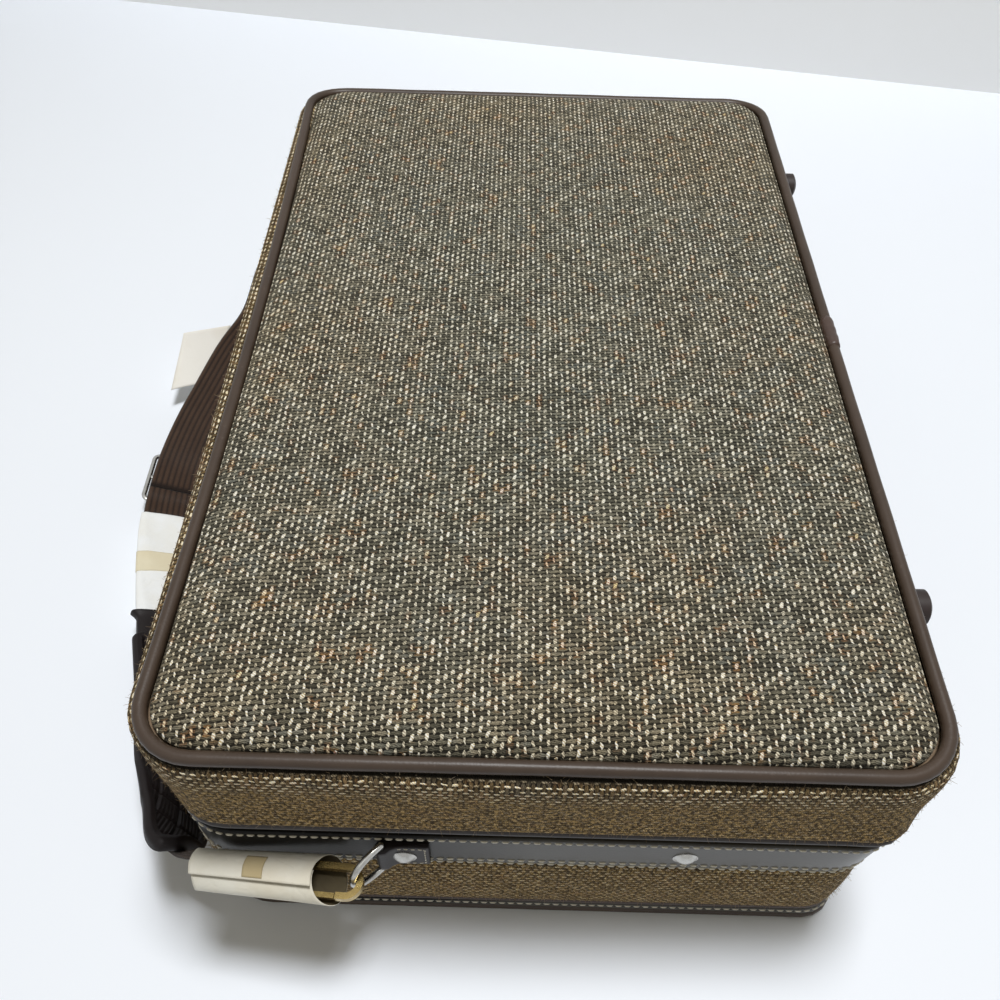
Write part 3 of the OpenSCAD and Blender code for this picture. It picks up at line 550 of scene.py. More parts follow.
def carry(run, section):
    # sets sections of (outward, height) along a run; a section may differ from point to point
    points, normals = run
    section = np.asarray(section, float)
    if section.ndim == 2:
        section = np.broadcast_to(section, (len(points),) + section.shape)
    flat = points[:, None, :] + normals[:, None, :] * section[:, :, :1]
    return np.concatenate([flat, section[:, :, 1:]], 2)


def sweep(name, section, finish, along=run, ring=True):
    return loft(name, carry(along, section), finish, True, ring)


def roundSection(radius, centreOut, centreHigh, sides=14):
    angles = [2 * pi * k / sides for k in range(sides)]
    return [(centreOut + radius * cos(a), centreHigh + radius * sin(a)) for a in angles]


def ripple(points, seed, length, height):
    # smooth closed ripple along a run, the same on every run of the script
    source = np.random.default_rng(seed)
    along = steps(points, True)
    value = np.zeros(len(points))
    for k in range(1, 9):
        turns = max(1, round(along[-1] / length * k / 5))
        size = source.uniform(-1, 1)
        phase = 2 * pi * turns * along[:-1] / along[-1] + source.uniform(0, 6.28)
        value += size * np.sin(phase) / k ** 0.6
    return height * value / 2


# Geometry Nodes: small blocks or stitches along a line, and hairs on a skin

def addNodes(tree, *kinds):
    return [tree.nodes.new(kind) for kind in kinds]


def linkAll(tree, *links):
    for source, out, target, into in links:
        tree.links.new(source.outputs[out], target.inputs[into])


def newTree(name, **inputs):
    # a tree with named inputs that sets instances on points, makes them real and gives them a finish
    tree = bpy.data.node_groups.new(name, "GeometryNodeTree")
    for label, kind in dict(inputs, Finish="Material").items():
        tree.interface.new_socket(label, in_out="INPUT", socket_type="NodeSocket" + kind)
    tree.interface.new_socket("Made", in_out="OUTPUT", socket_type="NodeSocketGeometry")
    source, made, put, real, coat = addNodes(
        tree, "NodeGroupInput", "NodeGroupOutput", "GeometryNodeInstanceOnPoints",
        "GeometryNodeRealizeInstances", "GeometryNodeSetMaterial")
    linkAll(tree, (put, 0, real, 0), (real, 0, coat, "Geometry"), (source, "Finish", coat, "Material"))
    return tree, source, put, coat, made


def grow(piece, tree, values):
    modifier = piece.modifiers.new("grow", "NODES")
    modifier.node_group = tree
    for item in tree.interface.items_tree:
        if item.in_out == "INPUT" and item.name in values:
            modifier[item.identifier] = values[item.name]
    return bake(piece)


def rowTree(kind):
    tree, source, put, coat, made = newTree(kind + "Row", Line="Geometry", Pitch="Float", Size="Vector")
    curve, even, tangent, turn, smooth, unit = addNodes(
        tree, "GeometryNodeMeshToCurve", "GeometryNodeResampleCurve", "GeometryNodeInputTangent",
        "FunctionNodeAlignRotationToVector", "GeometryNodeSetShadeSmooth",
        "GeometryNodeMeshUVSphere" if kind == "stitch" else "GeometryNodeMeshCube")
    if kind == "stitch":
        for label, value in (("Segments", 6), ("Rings", 4), ("Radius", 0.5)):
            unit.inputs[label].default_value = value
    even.mode, turn.axis = "LENGTH", "X"
    smooth.inputs["Shade Smooth"].default_value = kind == "stitch"
    linkAll(tree, (source, "Line", curve, "Mesh"), (curve, 0, even, "Curve"),
            (source, "Pitch", even, "Length"), (even, 0, put, "Points"), (tangent, 0, turn, "Vector"),
            (turn, 0, put, "Rotation"), (unit, "Mesh", put, "Instance"), (source, "Size", put, "Scale"),
            (coat, 0, smooth, "Geometry"), (smooth, 0, made, 0))
    return tree


def fibreTree():
    # thin three-sided hairs that stand off a skin at random angles and lengths
    tree, source, put, coat, made = newTree("fibres", Skin="Geometry", Density="Float", Length="Float",
                                            Seed="Int")
    spread, hair, lean, turn, tilt, vary, size = addNodes(
        tree, "GeometryNodeDistributePointsOnFaces", "GeometryNodeMeshCone", "FunctionNodeRandomValue",
        "FunctionNodeEulerToRotation", "FunctionNodeRotateRotation", "FunctionNodeRandomValue",
        "ShaderNodeCombineXYZ")
    lean.data_type, tilt.rotation_space = "FLOAT_VECTOR", "LOCAL"
    for node, socket, value in (
            (hair, "Vertices", 3), (hair, "Radius Top", 0.05 * mm), (hair, "Radius Bottom", 0.11 * mm),
            (hair, "Depth", 1.0), (lean, 0, (-1.25, -1.25, -3.1)), (lean, 1, (1.25, 1.25, 3.1)),
            (vary, 2, 0.3 * mm), (size, 0, 1.0), (size, 1, 1.0)):
        node.inputs[socket].default_value = value
    linkAll(tree, (source, "Skin", spread, "Mesh"), (source, "Density", spread, "Density"),
            (source, "Seed", spread, "Seed"), (source, "Seed", lean, "Seed"), (source, "Seed", vary, "Seed"),
            (source, "Length", vary, 3), (lean, 0, turn, 0), (spread, "Rotation", tilt, 0),
            (turn, 0, tilt, 1), (vary, 1, size, 2), (spread, "Points", put, "Points"),
            (hair, "Mesh", put, "Instance"), (tilt, 0, put, "Rotation"), (size, 0, put, "Scale"),
            (coat, 0, made, 0))
    return tree


rowTrees = {kind: rowTree(kind) for kind in ("stitch", "tooth")}
hairs = {"tree": fibreTree(), "density": 60000.0, "length": 3.4 * mm}
stitch = {"pitch": 4.9 * mm, "size": (3.9 * mm, 1.45 * mm, 1.3 * mm)}
fineStitch = {"pitch": 3.2 * mm, "size": (2.4 * mm, 0.85 * mm, 0.7 * mm)}


def rowOf(name, kind, lines, unit, finish):
    # lines are lists of points; a line that ends where it starts is a loop
    points, edges = [], []
    for line in lines:
        first = len(points)
        points += list(line)
        edges += [(first + i, first + i + 1) for i in range(len(line) - 1)]
    piece = newObject(name, points, edges, [], finish)
    return grow(piece, rowTrees[kind], {"Pitch": unit["pitch"], "Size": unit["size"], "Finish": finish})


def hairsOn(name, rows, seed):
    # rows are a gusset's sections; only their outer faces grow hairs
    skin = carry(run, np.array([row[:-2] for row in rows], float)[:, ::-1])
    piece = loft(name, skin, fibre, False, True, outward=False)
    return grow(piece, hairs["tree"], {"Density": hairs["density"], "Length": hairs["length"], "Seed": seed,
                                       "Finish": fibre})


def roundLine(out, high, along=None):
    # a closed line follows the skin where it is pushed out; along gives an open one
    points, normals = along or outline(3 * mm)
    outs = [out + (0.0 if along else flareAt(n, high)) for n in normals]
    line = [(p[0] + n[0] * o, p[1] + n[1] * o, high) for p, n, o in zip(points, normals, outs)]
    return line if along else line + line[:1]


print("helpers ready")


# Shoulder strap: the route is the solids' own, in millimetres: x, y, z, lean of the outer edge, width

strap = {"thick": 2.0 * mm, "ribs": 9, "ribHigh": 0.36 * mm, "rings": 260, "across": 46, "hump": 1.5 * mm,
         "humps": (13.57, 14.63), "humpWide": 0.14, "bow": 3.0 * mm, "gather": 7.5 * mm,
         "tuck": (6.5 * mm, 19.5, 0.9)}
strapStops = np.array([
    (-133, -279, 94, 0, 14), (-146, -278, 93, 0, 14), (-159.5, -275.8, 89.5, 6, 14),
    (-174, -269.4, 78, 26, 20), (-186, -258.8, 62, 50, 30), (-193.6, -241.5, 44, 60, 35),
    (-201.5, -217.5, 30, 57, 35), (-211, -190, 22, 49, 35), (-220.5, -162, 17.5, 41, 35),
    (-229, -135, 14.5, 34, 35),
    (-236.5, -110, 12, 29, 35), (-245, -79, 10, 26, 35), (-254, -46, 9.5, 24, 35), (-260, -13, 9, 22, 35),
    (-263, 20, 9, 22, 35), (-263, 54, 9, 22, 35), (-260, 88, 9, 24, 35), (-254, 122, 10, 27, 35),
    (-247, 156, 13, 32, 35), (-239, 188, 20, 37, 35), (-229, 217, 32, 40, 35), (-214, 243, 49, 36, 35),
    (-196, 261, 70, 24, 24), (-177, 271, 83, 10, 14), (-160, 275.8, 89.5, 4, 14), (-146, 278, 93, 0, 14),
    (-133, 279, 94, 0, 14)], float)
lastStop = len(strapStops) - 1


def strapAt(u):
    i = min(int(u), lastStop - 1)
    a, b, c, d = [strapStops[max(0, min(lastStop, k))] for k in (i - 1, i, i + 1, i + 2)]
    t = u - i
    second, third = 2 * a - 5 * b + 4 * c - d, 3 * b - a - 3 * c + d
    return 0.5 * (2 * b + (c - a) * t + second * t ** 2 + third * t ** 3)


def strapFrame(u):
    # middle, direction across and off the face, and half width there, in metres
    here = strapAt(u)
    way = strapAt(min(lastStop, u + 0.05))[:3] - strapAt(max(0, u - 0.05))[:3]
    way = way / np.linalg.norm(way)
    out = np.cross((0, 0, 1), way)
    out = out / np.linalg.norm(out)
    rise = np.cross(way, out)
    lean = radians(here[3])
    return (here[:3] * mm, cos(lean) * out + sin(lean) * rise,
            cos(lean) * rise - sin(lean) * out, here[4] * mm / 2)


def strapLoft(name, finish, span, rings, section, caps=True):
    # section(u, half) gives closed points of (across, off the face)
    rows = []
    for u in np.linspace(*span, rings + 1):
        middle, across, off, half = strapFrame(u)
        rows.append([middle + a * across + b * off for a, b in section(u, half)])
    return loft(name, rows, finish, caps=caps)


def webbingSection(u, half, lift=None):
    # ribbed face up, the same ribs underneath, rounded selvedges; it humps over the slide's end bars
    if lift is None:
        lift = strap["hump"] * sum(bell(u, at, strap["humpWide"]) for at in strap["humps"])
    bow = strap["bow"] * (1 - clamp((half - 7 * mm) / (8 * mm)))
    upper, lower = [], []
    for q in np.linspace(-1, 1, strap["across"] + 1):
        rib = strap["ribHigh"] * abs(sin(pi * strap["ribs"] * (q + 1) / 2))
        high = sqrt(max(0, 1 - abs(q) ** 14)) * (strap["thick"] / 2 - strap["ribHigh"] + rib)
        sag = lift + bow * (0.4 - q * q)
        upper.append((q * half, sag + high))
        lower.append((q * half, sag - high))
    return upper + lower[::-1][1:-1]


def tuckIn(u):
    # how far the strap is drawn towards the case where it goes behind it
    far, at, wide = strap["tuck"]
    return far * bell(u, at, wide)


def gatheredSection(u, half):
    # the webbing is bunched and drawn to the inside where it runs into the paper tube
    bunch = clamp((u - 1.0) / 1.2) * clamp((5.0 - u) / 1.2)
    bunch = bunch * bunch * (3 - 2 * bunch)
    inward = strap["gather"] * bunch + tuckIn(u)
    return [(a * (1 - 0.7 * bunch) - inward, b) for a, b in webbingSection(u, half)]


webbing = strapLoft("webbing", webbingCloth, (0, lastStop), strap["rings"], gatheredSection)
settle(webbing, "base", "webbing", "strap_webbing")
print("webbing made")

strapReturn = {"span": (13.93, 21.2), "lift": 2.5 * mm, "over": 4.4 * mm, "bar": (14.5, 0.42)}


def returnSection(u, half):
    # the doubled length lies on the strap, climbs over the slide's far bar and dives through it
    first, last = strapReturn["span"]
    climb = bell(u, *strapReturn["bar"])
    start, end = clamp((u - first) / 0.16), clamp((last - u) / 0.3)
    lift = strapReturn["lift"] + (strapReturn["over"] - strapReturn["lift"]) * climb
    rows = webbingSection(u, half * 0.985, lift * (0.55 + 0.45 * sqrt(start)) * (0.5 + 0.5 * end))
    return [(a - tuckIn(u), b) for a, b in rows]


doubled = strapLoft("strapReturn", webbingCloth, strapReturn["span"], 120, returnSection)
settle(doubled, "base", "webbing")

pad = {"span": (3.5, 10.0), "half": 22.5 * mm, "flare": 8.6 * mm, "low": 1.6 * mm, "high": 9.3 * mm,
       "roll": 5.5 * mm, "panel": 19 * mm, "bar": 2.2 * mm, "rail": 15 * mm, "rib": 2.4 * mm}


def padEdge(u, outer):
    # half width on one side: round near end, square far end, fuller where the pad flares away from the case
    first, last = pad["span"]
    full = pad["half"] + (pad["flare"] * bell(u, 5.8, 1.7) if outer else 0)
    taper = 2.5 if outer else 1.8
    nearEnd = max(0, (first + taper - u) / (taper + 0.05)) ** 1.4
    farEnd = max(0, (u - last + 0.35) / 0.35) ** 5
    return max(4 * mm, full * sqrt(max(0, 1 - nearEnd)) * (1 - 0.25 * farEnd))


padStops = np.linspace(*pad["span"], 201)
padLength = steps([strapFrame(u)[0] for u in padStops], False)


def rounded(t):
    return sqrt(max(0, 1 - max(0, 1 - t) ** 2))


def nearLine(at, pitch, shift):
    return abs((at / pitch + shift) % 1 - 0.5) * pitch


def padSection(u, half):
    # rolled border round a sunken face with cross bars, long bars and fine ribs
    inner, outer = padEdge(u, False), padEdge(u, True)
    s = np.interp(u, padStops, padLength)
    fromEnd = min(s, padLength[-1] - s)
    middle = (pad["high"] + pad["low"]) / 2
    upper, lower = [], []
    for q in np.linspace(-1, 1, 97):
        a = q * (outer if q > 0 else inner)
        edge = (outer if q > 0 else inner) - abs(a)
        roll = rounded(edge / (2.6 * mm))
        within = min(edge, fromEnd) - pad["roll"]
        sunk = 0.0
        if within > 0:
            bar = max(0, 1 - nearLine(s, pad["panel"], 0) / pad["bar"])
            bar = min(1, bar + max(0, 1 - nearLine(a, pad["rail"], 0.5) / (1.6 * mm)))
            ribs = 0.55 * mm * abs(sin(pi * a / pad["rib"]))
            sunk = min(1, within / (0.8 * mm)) * (1.5 * mm - ribs * (1 - bar) + 1.1 * mm * bar)
        top = pad["high"] - 1.2 * mm * (1 - roll) - sunk
        squash = (0.25 + 0.75 * roll) * (0.35 + 0.65 * rounded(fromEnd / (4 * mm)))
        upper.append((a, middle + (top - middle) * squash))
        lower.append((a, middle + (pad["low"] - middle) * squash))
    return upper + lower[::-8][1:-1]


shoulderPad = strapLoft("shoulderPad", padRubber, pad["span"], 190, padSection)
settle(shoulderPad, "base", "pad_rubber", "shoulder_pad")
neck = {"span": (9.8, 10.62), "half": 18.6 * mm, "lip": 22.3 * mm, "low": -2.4 * mm, "high": 6.2 * mm}


def power(value, exponent):
    return copysign(abs(value) ** exponent, value)


def neckSection(u, half):
    # tunnel that the webbing leaves by, with a flared lip
    first, last = neck["span"]
    flare = max(0.0, ((u - first) / (last - first) - 0.8) / 0.2) ** 1.6
    h = neck["half"] + (neck["lip"] - neck["half"]) * flare
    low, high = neck["low"] - 0.7 * mm * flare, neck["high"] + 0.9 * mm * flare
    turns = [2 * pi * k / 48 for k in range(48)]
    return [(power(cos(a), 0.4) * h, (low + high) / 2 + power(sin(a), 0.55) * (high - low) / 2)
            for a in turns]


padNeck = settle(strapLoft("padNeck", padRubber, neck["span"], 24, neckSection), "base", "pad_rubber")
print("pad made")

slide = {"place": 14.2, "half": 19.9 * mm, "reach": 20.2 * mm, "corner": 4 * mm, "off": -0.7 * mm,
         "bar": (1.7 * mm, 1.15 * mm), "unit": 34 * mm}


def slideRing(line, closed):
    # flat rounded bar bent along a line drawn on the strap
    rows, count = [], len(line)
    for k, (a, s) in enumerate(line):
        before = line[k - 1 if closed or k else 0]
        after = line[(k + 1) % count if closed or k < count - 1 else k]
        way = np.array((after[0] - before[0], after[1] - before[1]))
        side = np.array((-way[1], way[0])) / np.linalg.norm(way)
        row = []
        for j in range(10):
            turn = 2 * pi * j / 10
            p = np.array((a, s)) + side * slide["bar"][0] * cos(turn)
            middle, across, off, _ = strapFrame(slide["place"] + p[1] / slide["unit"])
            row.append(middle + p[0] * across + (slide["off"] + slide["bar"][1] * sin(turn)) * off)
        rows.append(row)
    return rows


frameLine = []
for cx, cs, first in ((1, 1, 0), (-1, 1, 90), (-1, -1, 180), (1, -1, 270)):
    for k in range(9):
        turn = radians(first + 90 * k / 8)
        frameLine.append((cx * (slide["half"] - slide["corner"]) + slide["corner"] * cos(turn),
                          cs * (slide["reach"] - slide["corner"]) + slide["corner"] * sin(turn)))
barLine = [(a, 0.0) for a in np.linspace(-slide["half"], slide["half"], 13)]
slideFrame = loft("slideFrame", slideRing(frameLine, True), nickel, True, True)
settle(slideFrame, "base", "nickel", "strap_slide")
slideBar = settle(loft("slideBar", slideRing(barLine, False), nickel), "base", "nickel", "strap_slide")


# Paper round the strap and the near hook, tape on both, and the card tag

wrap = {"span": (10.6, 13.2), "half": 18.6 * mm, "deep": 2.6 * mm, "wall": 0.35 * mm, "sides": 56}
wrapTape = {"span": (11.69, 12.17), "grow": 0.35 * mm}


def wrapShell(name, finish, span, rings, grow):
    def section(u, half):
        first, last = wrap["span"]
        s = (u - first) / (last - first)
        loose = 1 + 0.22 * sin(5.2 * s + 0.6) + 0.14 * sin(13 * s)
        points = []
        for k in range(wrap["sides"]):
            t = 2 * pi * k / wrap["sides"]
            a = power(cos(t), 0.45) * (wrap["half"] + grow + 0.3 * mm * sin(9 * s))
            b = power(sin(t), 0.8) * (wrap["deep"] * loose + grow)
            dent = 0.35 * mm * sin(7 * t + 9 * s) * (1 - abs(cos(t)))
            points.append((a, b + dent + 0.5 * mm))
        return points
    return thicken(strapLoft(name, finish, span, rings, section, False), wrap["wall"])


paperWrap = settle(wrapShell("paperWrap", paper, wrap["span"], 60, 0), "base", "paper", "paper_sleeve")
wrapFilm = wrapShell("wrapTape", tapeFilm, wrapTape["span"], 16, wrapTape["grow"])
settle(wrapFilm, "base", "tape", "paper_tapes")

hook = {"turn": radians(4.5), "dip": radians(4), "long": 46.75 * mm}
hookAlong = np.array((-cos(hook["turn"]) * cos(hook["dip"]), sin(hook["turn"]) * cos(hook["dip"]),
                      -sin(hook["dip"])))
hookSide = np.array((-sin(hook["turn"]), -cos(hook["turn"]), 0.0))
hookUp = np.cross(hookAlong, hookSide)
hookAt = strapStops[0][:3] * mm - hookAlong * hook["long"]
roll = {"span": (1.5 * mm, 73.5 * mm), "cut": 13 * mm, "wide": (10.3 * mm, 8.6 * mm),
        "tall": (8.6 * mm, 7.2 * mm), "wall": 0.35 * mm, "start": 190, "turn": 395, "points": 80,
        "grow": 0.13, "lift": 0.22}


def rollPoint(share, k, off=0.0):
    # paper rolled round the hook: starts under its own free edge, goes down the front, and ends on top
    wide, tall = [a + (b - a) * share + off for a, b in (roll["wide"], roll["tall"])]
    t = k / roll["points"]
    angle = radians(roll["start"] - roll["turn"] * t)
    grow = 1 + roll["grow"] * t + roll["lift"] * max(0, t - 0.84) / 0.16 + 0.02 * sin(3 * angle + 4 * share)
    start = roll["span"][0] + roll["cut"] * (1 - cos(angle)) / 2
    u = start + (roll["span"][1] - 3 * mm * max(0, sin(angle)) - start) * share
    return (hookAt + hookAlong * u + hookSide * wide * grow * sin(angle)
            - hookUp * tall * grow * cos(angle))


rollRows = [[rollPoint(k / 40, j) for j in range(roll["points"] + 1)] for k in range(41)]
# the roll's wall gets the dark paper on its inner face: painted shade inside the roll
paperRoll = thicken(loft("paperRoll", rollRows, rollPaper, closedRing=False), roll["wall"], 0.0, rollInsidePaintedShade)
settle(paperRoll, "base", "paper", "paper_tube")

rollTape = {"shares": (0.39, 0.555), "points": range(69, 80), "off": 0.45 * mm, "wall": 0.2 * mm}
filmRows = [[rollPoint(share, j, rollTape["off"]) for j in rollTape["points"]]
            for share in np.linspace(*rollTape["shares"], 9)]
rollFilm = thicken(loft("rollTape", filmRows, oldTape, closedRing=False), rollTape["wall"], 1.0)
settle(rollFilm, "base", "tape", "paper_tapes")

tag = {"span": (16.6, 18.1), "skew": 0.8, "half": 15 * mm, "set": (16.5 * mm, 29 * mm), "off": -1.7 * mm,
       "curl": 2.2 * mm, "wall": 0.5 * mm}
tagRows = []
for share in np.linspace(0, 1, 25):
    at, shift = [a + (b - a) * share for a, b in (tag["span"], tag["set"])]
    row = []
    for q in np.linspace(-1, 1, 13):
        middle, across, off, _ = strapFrame(at + tag["skew"] * (1 - q) / 2)
        curl = tag["off"] - tag["curl"] * max(0, q) ** 2 * (1 - 0.7 * share)
        row.append(middle + (shift + tag["half"] * q) * across + curl * off)
    tagRows.append(row)
hangTag = thicken(loft("hangTag", tagRows, tagCard, closedRing=False), tag["wall"])
settle(hangTag, "base", "paper", "hang_tag")

print("strap and papers made")


# Lid: padded top, piping, gusset, welt

panelLow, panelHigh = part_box("lid_panel")
top = {"seam": 192.6 * mm, "puff": 7.0 * mm, "crown": 1.8 * mm, "inset": case["halfW"] - panelHigh.x,
       "floor": panelLow.z, "roll": 7.5 * mm, "quilt": 0.4 * mm,
       "shares": (1, 0.994, 0.987, 0.978, 0.966, 0.95, 0.925, 0.89, 0.84, 0.78, 0.7, 0.6, 0.48, 0.34, 0.18,
                  0.05)}
bow = {"deep": 3.3 * mm, "at": -0.05, "fall": 0.075}


def topHeight(x, y):
    # pillow: rises quickly from the seam beside the piping, then only a little to the middle
    w, l, r = [case[k] - top["inset"] for k in ("halfW", "halfL", "corner")]
    dx, dy = max(abs(x) - (w - r), 0), max(abs(y) - (l - r), 0)
    inside = r - hypot(dx, dy) if dx > 0 and dy > 0 else min(w - abs(x), l - abs(y))
    soft = sin(31 * x + 3 * sin(9 * y)) * sin(17 * y + 1.3) + 0.5 * sin(57 * y + 40 * x)
    full = 1 - exp(-max(0.0, inside) / top["roll"])
    crown = (1 - (x / w) ** 2) * (1 - (y / l) ** 2)
    return top["seam"] + (top["puff"] + top["quilt"] * soft) * full + top["crown"] * crown


def bowIn(points, normals):
    # the top's left edge is drawn in along its middle and stands out at its ends
    return np.maximum(0, -normals[:, 0]) ** 2 * (bow["deep"] - bow["fall"] * (points[:, 1] - bow["at"]) ** 2)


bowed = bowIn(*run)
edge = run[0] - run[1] * (top["inset"] + bowed)[:, None]
rings = [[(x, y, top["floor"]) for x, y in edge]]
rings += [[(x, y, topHeight(x, y)) for x, y in edge * share] for share in top["shares"]]
count = len(edge)
panelPoints = np.vstack([np.array(rings).reshape(-1, 3), [(0, 0, topHeight(0, 0)), (0, 0, top["floor"])]])
middle = len(panelPoints) - 2
panelFaces = grid(len(rings), count, False, True) + fan(middle - count, count, middle)
panelFaces += [(b, a, hub) for a, b, hub in fan(0, count, middle + 1)]
lidTop = addPiece("lidTop", panelPoints, panelFaces, tweedTop)
settle(lidTop, "lid", "tweed", "lid_panel", "lid_foam")

pipeLow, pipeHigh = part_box("lid_piping")
piping = {"radius": 0.45 * (pipeHigh.z - pipeLow.z), "high": (pipeHigh.z + pipeLow.z) / 2,
          "proud": pipeHigh.x - case["halfW"], "farDrop": 2.2 * mm}
piping["out"] = piping["proud"] - piping["radius"]
wave = ripple(run[0], 3, 0.22, 0.25 * mm) - bowed
lift = ripple(run[0], 5, 0.26, 0.35 * mm) - piping["farDrop"] * np.maximum(0, run[1][:, 1]) ** 2
section = [roundSection(piping["radius"] * (1 + 0.02 * sin(i * 0.7)), piping["out"] + wave[i],
                        piping["high"] + lift[i]) for i in range(count)]
settle(sweep("lidPiping", section, pipingVinyl), "lid", "piping_vinyl", "lid_piping")

sleeveLow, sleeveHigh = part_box("piping_sleeve")
sleeve = {"radius": piping["radius"] + 0.75 * mm, "half": (sleeveHigh.y - sleeveLow.y) / 2}
sleeveRows = []
for q in np.linspace(-1, 1, 17):
    r = sleeve["radius"] - 0.5 * mm * abs(q) ** 6 + 0.12 * mm * sin(11 * q)
    sleeveRows.append([(case["halfW"] + a, q * sleeve["half"], b) for a, b in
                       roundSection(r, piping["out"], piping["high"], 24)])
settle(loft("pipingSleeve", sleeveRows, weltVinyl), "lid", "piping_vinyl", "piping_sleeve")

flare = {"out": 3.5 * mm, "level": 81 * mm, "heights": (0, 8, 18, 30, 75, 82, 112, 119, 130, 155, 183, 190),
         "corner": (4, 4, 3.2, 2.4, 2, 2.6, 4.8, 5.5, 6.8, 3.3, 2, 0),
         "rises": (118, 120, 130, 150, 190), "near": (0, 2.5, 2.5, 1.2, 0)}


def flareAt(n, z):
    # the base spreads on the hinge side, most at the floor; the near hinge corner and near edge stand out
    corner = 4 * (n[0] * n[1]) ** 2 if n[0] > 0 > n[1] else 0.0
    return (flare["out"] * max(0, n[0]) ** 2 * max(0, 1 - z / flare["level"])
            + corner * np.interp(z / mm, flare["heights"], flare["corner"]) * mm
            + max(0, -n[1]) ** 2 * np.interp(z / mm, flare["rises"], flare["near"]) * mm)


def flared(rows):
    return [[(a + flareAt(n, z), z) for a, z in row] for row, n in zip(rows, run[1])]


skinBack = -3.6 * mm


def gussetSection(look, seed):
    # soft wall between two seams; each side swells by its own amounts along it, and the left side may rise
    low, high, swell = look["low"], look["high"], look["swell"]
    tall = high - low
    wander = ripple(run[0], seed, 0.3, 0.4 * mm)
    drops = np.unique(np.concatenate([np.linspace(0, 8 * mm, 9), np.linspace(8 * mm, tall, 14)]))[::-1]
    rows = []
    for p, n, w in zip(*run, wander):
        sides = {"left": (-n[0], p[1] / case["halfL"]), "right": (n[0], p[1] / case["halfL"]),
                 "near": (-n[1], p[0] / case["halfW"]), "far": (n[1], p[0] / case["halfW"])}
        full = w + sum(max(0, share) ** 3 * np.interp(at, np.linspace(-1, 1, len(swell[k])), swell[k]) * mm
                       for k, (share, at) in sides.items())
        lift = look["rise"] * max(0, -n[0]) ** 3
        outer = []
        for d in drops:
            pinch = 1.1 * mm * exp(-min(d, tall - d) / (0.8 * mm))
            out = np.interp(d / tall, *look["shape"]) * full - pinch
            outer.append((out, high - d + lift * exp(-d / (12 * mm))))
        rows.append(outer + [(skinBack, high), (skinBack, low)])
    return flared(rows)


lidSide = {"low": skinLow.z + 0.1 * mm, "high": skinHigh.z + 0.8 * mm, "rise": 2.5 * mm,
           "swell": {"left": (5.4, 5.0, 6.4, 8.2, 10.4), "right": (7.0, 0.5, 0.0), "near": (3.5, 5.6, 3.5),
                     "far": (3.0, 3.0, 3.0)},
           "shape": ((0, 0.02, 0.05, 0.1, 0.17, 0.3, 0.5, 0.75, 1),
                     (0.05, 0.5, 0.82, 0.98, 1.0, 0.9, 0.62, 0.25, 0))}
lidRows = gussetSection(lidSide, 11)
settle(sweep("lidSide", lidRows, tweedSide), "lid", "tweed_side", "lid_gusset")


def weltOf(name, node, body, slot, finish, seed):
    low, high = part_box(node)
    radius = (high.z - low.z) / 2
    section = [roundSection(radius, high.x - case["halfW"] - radius + w, low.z + radius, 10)
               for w in ripple(run[0], seed, 0.2, 0.2 * mm)]
    settle(sweep(name, flared(section), finish), body, slot, node)


# the lid welt takes the darker copy of the welt vinyl: painted shade
weltOf("lidWelt", "lid_welt", "lid", "welt_vinyl", lidWeltPaintedShade, 21)
weltOf("baseWelt", "base_welt", "base", "welt_vinyl", weltVinyl, 22)
weltOf("basePiping", "base_piping", "base", "piping_vinyl", pipingVinyl, 23)
settle(hairsOn("lidHairs", lidRows, 5), "lid", "tweed_side")
print("lid skin made")


# Base: band, gusset, edge strip and their stitches

baseLow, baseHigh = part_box("base_gusset")
baseSide = {"low": baseLow.z + 0.1 * mm, "high": baseHigh.z - 0.1 * mm, "rise": 0.0,
            "swell": {side: (2.0, 2.0, 2.0) for side in ("left", "right", "near", "far")},
            "shape": ((0, 0.1, 0.3, 0.5, 0.7, 0.9, 1), (0, 0.45, 0.85, 1, 0.85, 0.45, 0))}
baseRows = gussetSection(baseSide, 12)
settle(sweep("baseSide", baseRows, tweedBase), "base", "tweed_side", "base_gusset")
strip = {"levels": (0, 0.4, 0.9, 1.6, 2.4, 3.2, 4.2, 5.5), "fold": 0.9 * mm, "round": 0.6 * mm,
         "press": 0.35 * mm, "pressWide": 0.7 * mm}


def stripOf(name, node, proud, belly, seed, seams):
    # vinyl strip with folded edges, pressed in along its seams; a seam below 0 is counted down from its top
    low, high = [corner.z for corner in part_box(node)]
    tall = (high - low) / mm
    seams = [low + s if s > 0 else high + s for s in seams]
    levels = [*strip["levels"], *(tall - h for h in strip["levels"]), *(tall * k / 8 for k in range(9))]
    rows = []
    for w in ripple(run[0], seed, 0.3, 0.3 * mm):
        outer = []
        for h in sorted(set(levels)):
            z = low + h * mm
            fold = min(1, min(h * mm, high - z) / strip["fold"])
            press = strip["press"] * sum(bell(z, s, strip["pressWide"]) for s in seams)
            swell = (belly + w) * sin(pi * (z - low) / (high - low))
            outer.append((proud - strip["round"] * (1 - sqrt(fold)) - press + swell, z))
        rows.append(outer + [(skinBack, high), (skinBack, low)])
    settle(sweep(name, flared(rows), bandVinyl), "base", "band_vinyl", node)
    return seams


